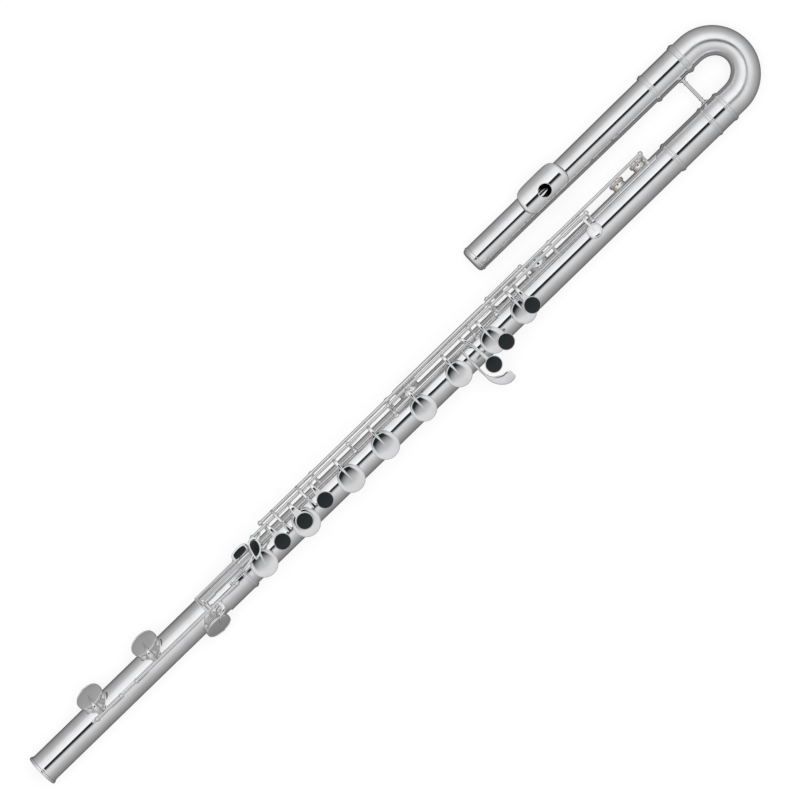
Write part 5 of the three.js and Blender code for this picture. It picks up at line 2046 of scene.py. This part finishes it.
    def _riser_point(self, turn: float, on_plate: bool, spread: float, level: float) -> Vector:
        """A point of the riser.

        Args:
            turn: The way round the mouth hole, in radians.
            on_plate: Whether its level counts from the plate's underside and not from the head tube.
            spread: The distance from the hole's edge.
            level: The height.

        Returns:
            The point.
        """
        x, y = ((half + spread) * way for half, way in zip(self.mouth, (math.cos(turn), math.sin(turn))))
        if on_plate:
            height = self._lip(*self._mouth_edge(turn, spread), level).z
        else:
            height = math.sqrt(self.radius_at(self.mouth_x + x) ** 2 - y ** 2) + level
        return Vector((self.mouth_x + x, self.spacing + y, height))

    def _riser_rings(self) -> list[list[Vector]]:
        """The short wall between the head tube and the lip plate.

        Returns:
            Its rings, from the fillet on the tube up the outside and down the inside.
        """
        wall = self.plate_wall
        fillet = [(1.2 + 0.9 * (1 - math.sin(k * math.pi / 8)), 0.9 * (1 - math.cos(k * math.pi / 8)) - 0.05)
                  for k in range(5)]
        places = [(False, *point) for point in fillet]
        places += [(True, 1.2, 0.3), (True, 0.3, wall - 0.03), (True, 0.08, wall - 0.05),
                   (True, 0.0, wall - 0.2), (False, 0.0, -TUBE.wall)]
        return [[self._riser_point(turn, *place) for turn in turns(self.sides)] for place in places]

    def stopper(self) -> None:
        """The cork on its threaded screw between two plates."""
        start, end = self.cork
        inner = self.crown_radius - TUBE.wall
        ridges = [(inner - 0.3 - 0.12 * (k % 2), _lerp(start + 0.6, end - 0.6, k / 22)) for k in range(23)]
        outline = [(self.screw_radius + 0.3, start), (inner - 1.0, start), *ridges, (inner - 1.0, end),
                   (self.screw_radius + 0.3, end)]
        cork = Form().spun(outline, self.line, 72, bored=True)
        self.piece("stopper_cork", cork, "head_cork", finish=CORK)
        screw = Form()
        first, last = self.crown_start - 2.7, end + 1.3
        pitch, thread = 0.9, self.screw_radius - 0.32
        outline = [(0.0, first), (thread, first)]
        for k in range(int((start - 3 - first) / pitch)):
            at = first + 0.3 + k * pitch
            outline += [(thread, at), (self.screw_radius, at + 0.35 * pitch),
                        (self.screw_radius, at + 0.55 * pitch), (thread, at + 0.9 * pitch)]
        outline += [(self.screw_radius, start - 2), (self.screw_radius, last), (0.0, last)]
        screw.spun(outline, self.line, 32)
        for low, high in ((end + 0.3, last), (start - 1.3, start - 0.3)):
            rod(screw, self.line, low, high, inner - 0.6, 0.2, 72)
        self.piece("stopper_screw_and_plates", screw, "cork_screw", finish=STEEL)

    def crown(self) -> None:
        """The crown: a ring, a groove and a domed cap with a dished face."""
        ring, spigot = self.crown_radius + 0.4, self.crown_radius - TUBE.wall - 0.3
        cap = [(0.0, -6.35), (4.0, -6.45), (8.0, -6.75), (9.1, -6.98), (9.9, -7.0), (10.7, -6.75)]
        cap += [(10.7 + 2.9 * math.sin(t), -6.75 + 3.0 * (1 - math.cos(t)) ** 0.8)
                for t in (math.pi / 2 * k / 7 for k in range(1, 8))]
        edge = softened([(13.6, -3.7), (13.2, -3.4), (13.2, -3.15), (ring - 0.1, -3.0), (ring, -2.6),
                         (ring, -0.7), (ring - 0.2, -0.35), (spigot, -0.3), (spigot, 7.0),
                         (spigot - 1.2, 7.0), (spigot - 1.2, -3.0), (0.0, -3.0)], 0.12, 2)
        place = self.line @ Matrix.Translation((0, 0, self.crown_start))
        form = Form().spun(cap + edge, place, 96)
        self.bench.settle("crown_cap_and_ring", form, SILVER, "crown", "crown")


# Studio

@dataclass
class Studio:
    """The pale floor, the soft light round the flute and the camera straight above it."""

    centre: tuple[float, float] = (0.00785, -0.0016)
    turn: float = -44.19
    height: float = 4.463
    lens: float = 200.0
    floor_half: float = 6.0
    walls: float = 0.45
    slot: Colour = (0.012, 0.018, 0.02)
    towards_head: tuple[tuple[float, float], ...] = (
        (0, 1.05), (12, 1.05), (20, 0.99), (28, 0.94), (44, 0.85), (53, 0.71), (62, 0.58), (71, 0.51),
        (81, 0.456), (92, 0.4), (104, 0.36), (118, 0.3), (135, 0.2), (155, 0.1), (180, 0.05))
    away: tuple[tuple[float, float], ...] = (
        (0, 0.76), (29, 0.75), (37, 0.716), (44, 0.68), (52, 0.625), (60, 0.557), (68, 0.493), (77, 0.443),
        (87, 0.398), (97, 0.352), (109, 0.302), (122, 0.26), (140, 0.2), (160, 0.1), (180, 0.05))

    def build(self) -> None:
        """Builds the floor, the light and the camera."""
        self.floor()
        self.surround()
        self.lamp()
        self.camera()
        bpy.context.scene.view_settings.view_transform = "Standard"

    def floor(self) -> None:
        """The floor, which the polished metal doesn't mirror."""
        half = self.floor_half
        mesh = bpy.data.meshes.new("studio_floor")
        corners = [(-half, -half, 0), (half, -half, 0), (half, half, 0), (-half, half, 0)]
        mesh.from_pydata(corners, [], [(0, 1, 2, 3)])
        mesh.materials.append(FLOOR.material())
        made = linked("studio_floor", mesh)
        made.visible_glossy = False

    def surround(self) -> None:
        """The light that the metal mirrors: soft walls, a bright panel and a narrow dark gap overhead."""
        world = bpy.data.worlds.new("soft_surround")
        world.use_nodes = True
        world.node_tree.nodes.clear()
        nodes = Nodes(world.node_tree)
        way = nodes.add("ShaderNodeTexCoord", output="Generated")
        x = nodes.add("ShaderNodeSeparateXYZ", sockets={"Vector": way})
        y, z = x["Y"], x["Z"]
        level = (x * x + y * y).math("SQRT").math("MAXIMUM", 0.001)
        tilt = z.math("ARCCOSINE") / math.pi
        tones = [nodes.add("ShaderNodeValToRGB", {"stops": [
            (angle / 180, (tone, tone * 1.002, tone * 1.012)) for angle, tone in stops]}, {"Fac": tilt})
            for stops in (self.away, self.towards_head)]
        side = 0.5 + 0.5 * (y / level)
        tone = nodes.mixed(side, tones[0], tones[1])
        slope = y / z.math("MAXIMUM", 0.01)
        gap = (self._edge(nodes, slope, -0.44, -0.12) * (1 - self._edge(nodes, slope, 0.07, 0.1))
               * (1 - self._edge(nodes, x, 0.13, 0.2)) * self._edge(nodes, x, -0.28, -0.2))
        tone = nodes.mixed(gap, tone, self.slot)
        mirrored = nodes.add("ShaderNodeLightPath", output="Is Glossy Ray")
        tone = nodes.mixed(mirrored, (self.walls,) * 3, tone)
        light = nodes.add("ShaderNodeBackground", sockets={"Color": tone, "Strength": 1.0})
        nodes.add("ShaderNodeOutputWorld", sockets={"Surface": light})
        bpy.context.scene.world = world

    @staticmethod
    def _edge(nodes: Nodes, value: Wire, low: float, high: float) -> Wire:
        """A soft step from 0 at the low value to 1 at the high one."""
        return nodes.add("ShaderNodeMapRange", {"interpolation_type": "SMOOTHSTEP"}, {
            "Value": value, "From Min": low, "From Max": high})

    def lamp(self) -> None:
        """A wide soft lamp overhead, which the polished metal doesn't mirror."""
        light = bpy.data.lights.new("overhead", "AREA")
        light.shape, light.size, light.size_y, light.energy = "RECTANGLE", 3.0, 3.0, 46.0
        made = linked("overhead", light)
        made.location = (*self.centre, 2.6)
        made.visible_glossy = False

    def camera(self) -> None:
        """The camera, looking straight down on the flute."""
        view = bpy.data.cameras.new("camera")
        view.lens, view.sensor_width, view.clip_end = self.lens, 36.0, 50.0
        made = linked("camera", view)
        made.location = (*self.centre, self.height)
        made.rotation_euler = (0.0, 0.0, math.radians(self.turn))
        bpy.context.scene.camera = made


def main() -> None:
    """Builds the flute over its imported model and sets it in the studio."""
    logging.basicConfig(level=logging.INFO, format="%(message)s")
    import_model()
    bench = Bench.laid_out()
    fittings = Fittings(bench)
    for part in (FootJoint(bench, fittings), BodyJoint(bench, fittings), Bend(bench), HeadJoint(bench),
                 Studio()):
        part.build()
        log.info("%s is built", type(part).__name__)
    bpy.context.view_layer.update()


if __name__ == "__main__":
    main()
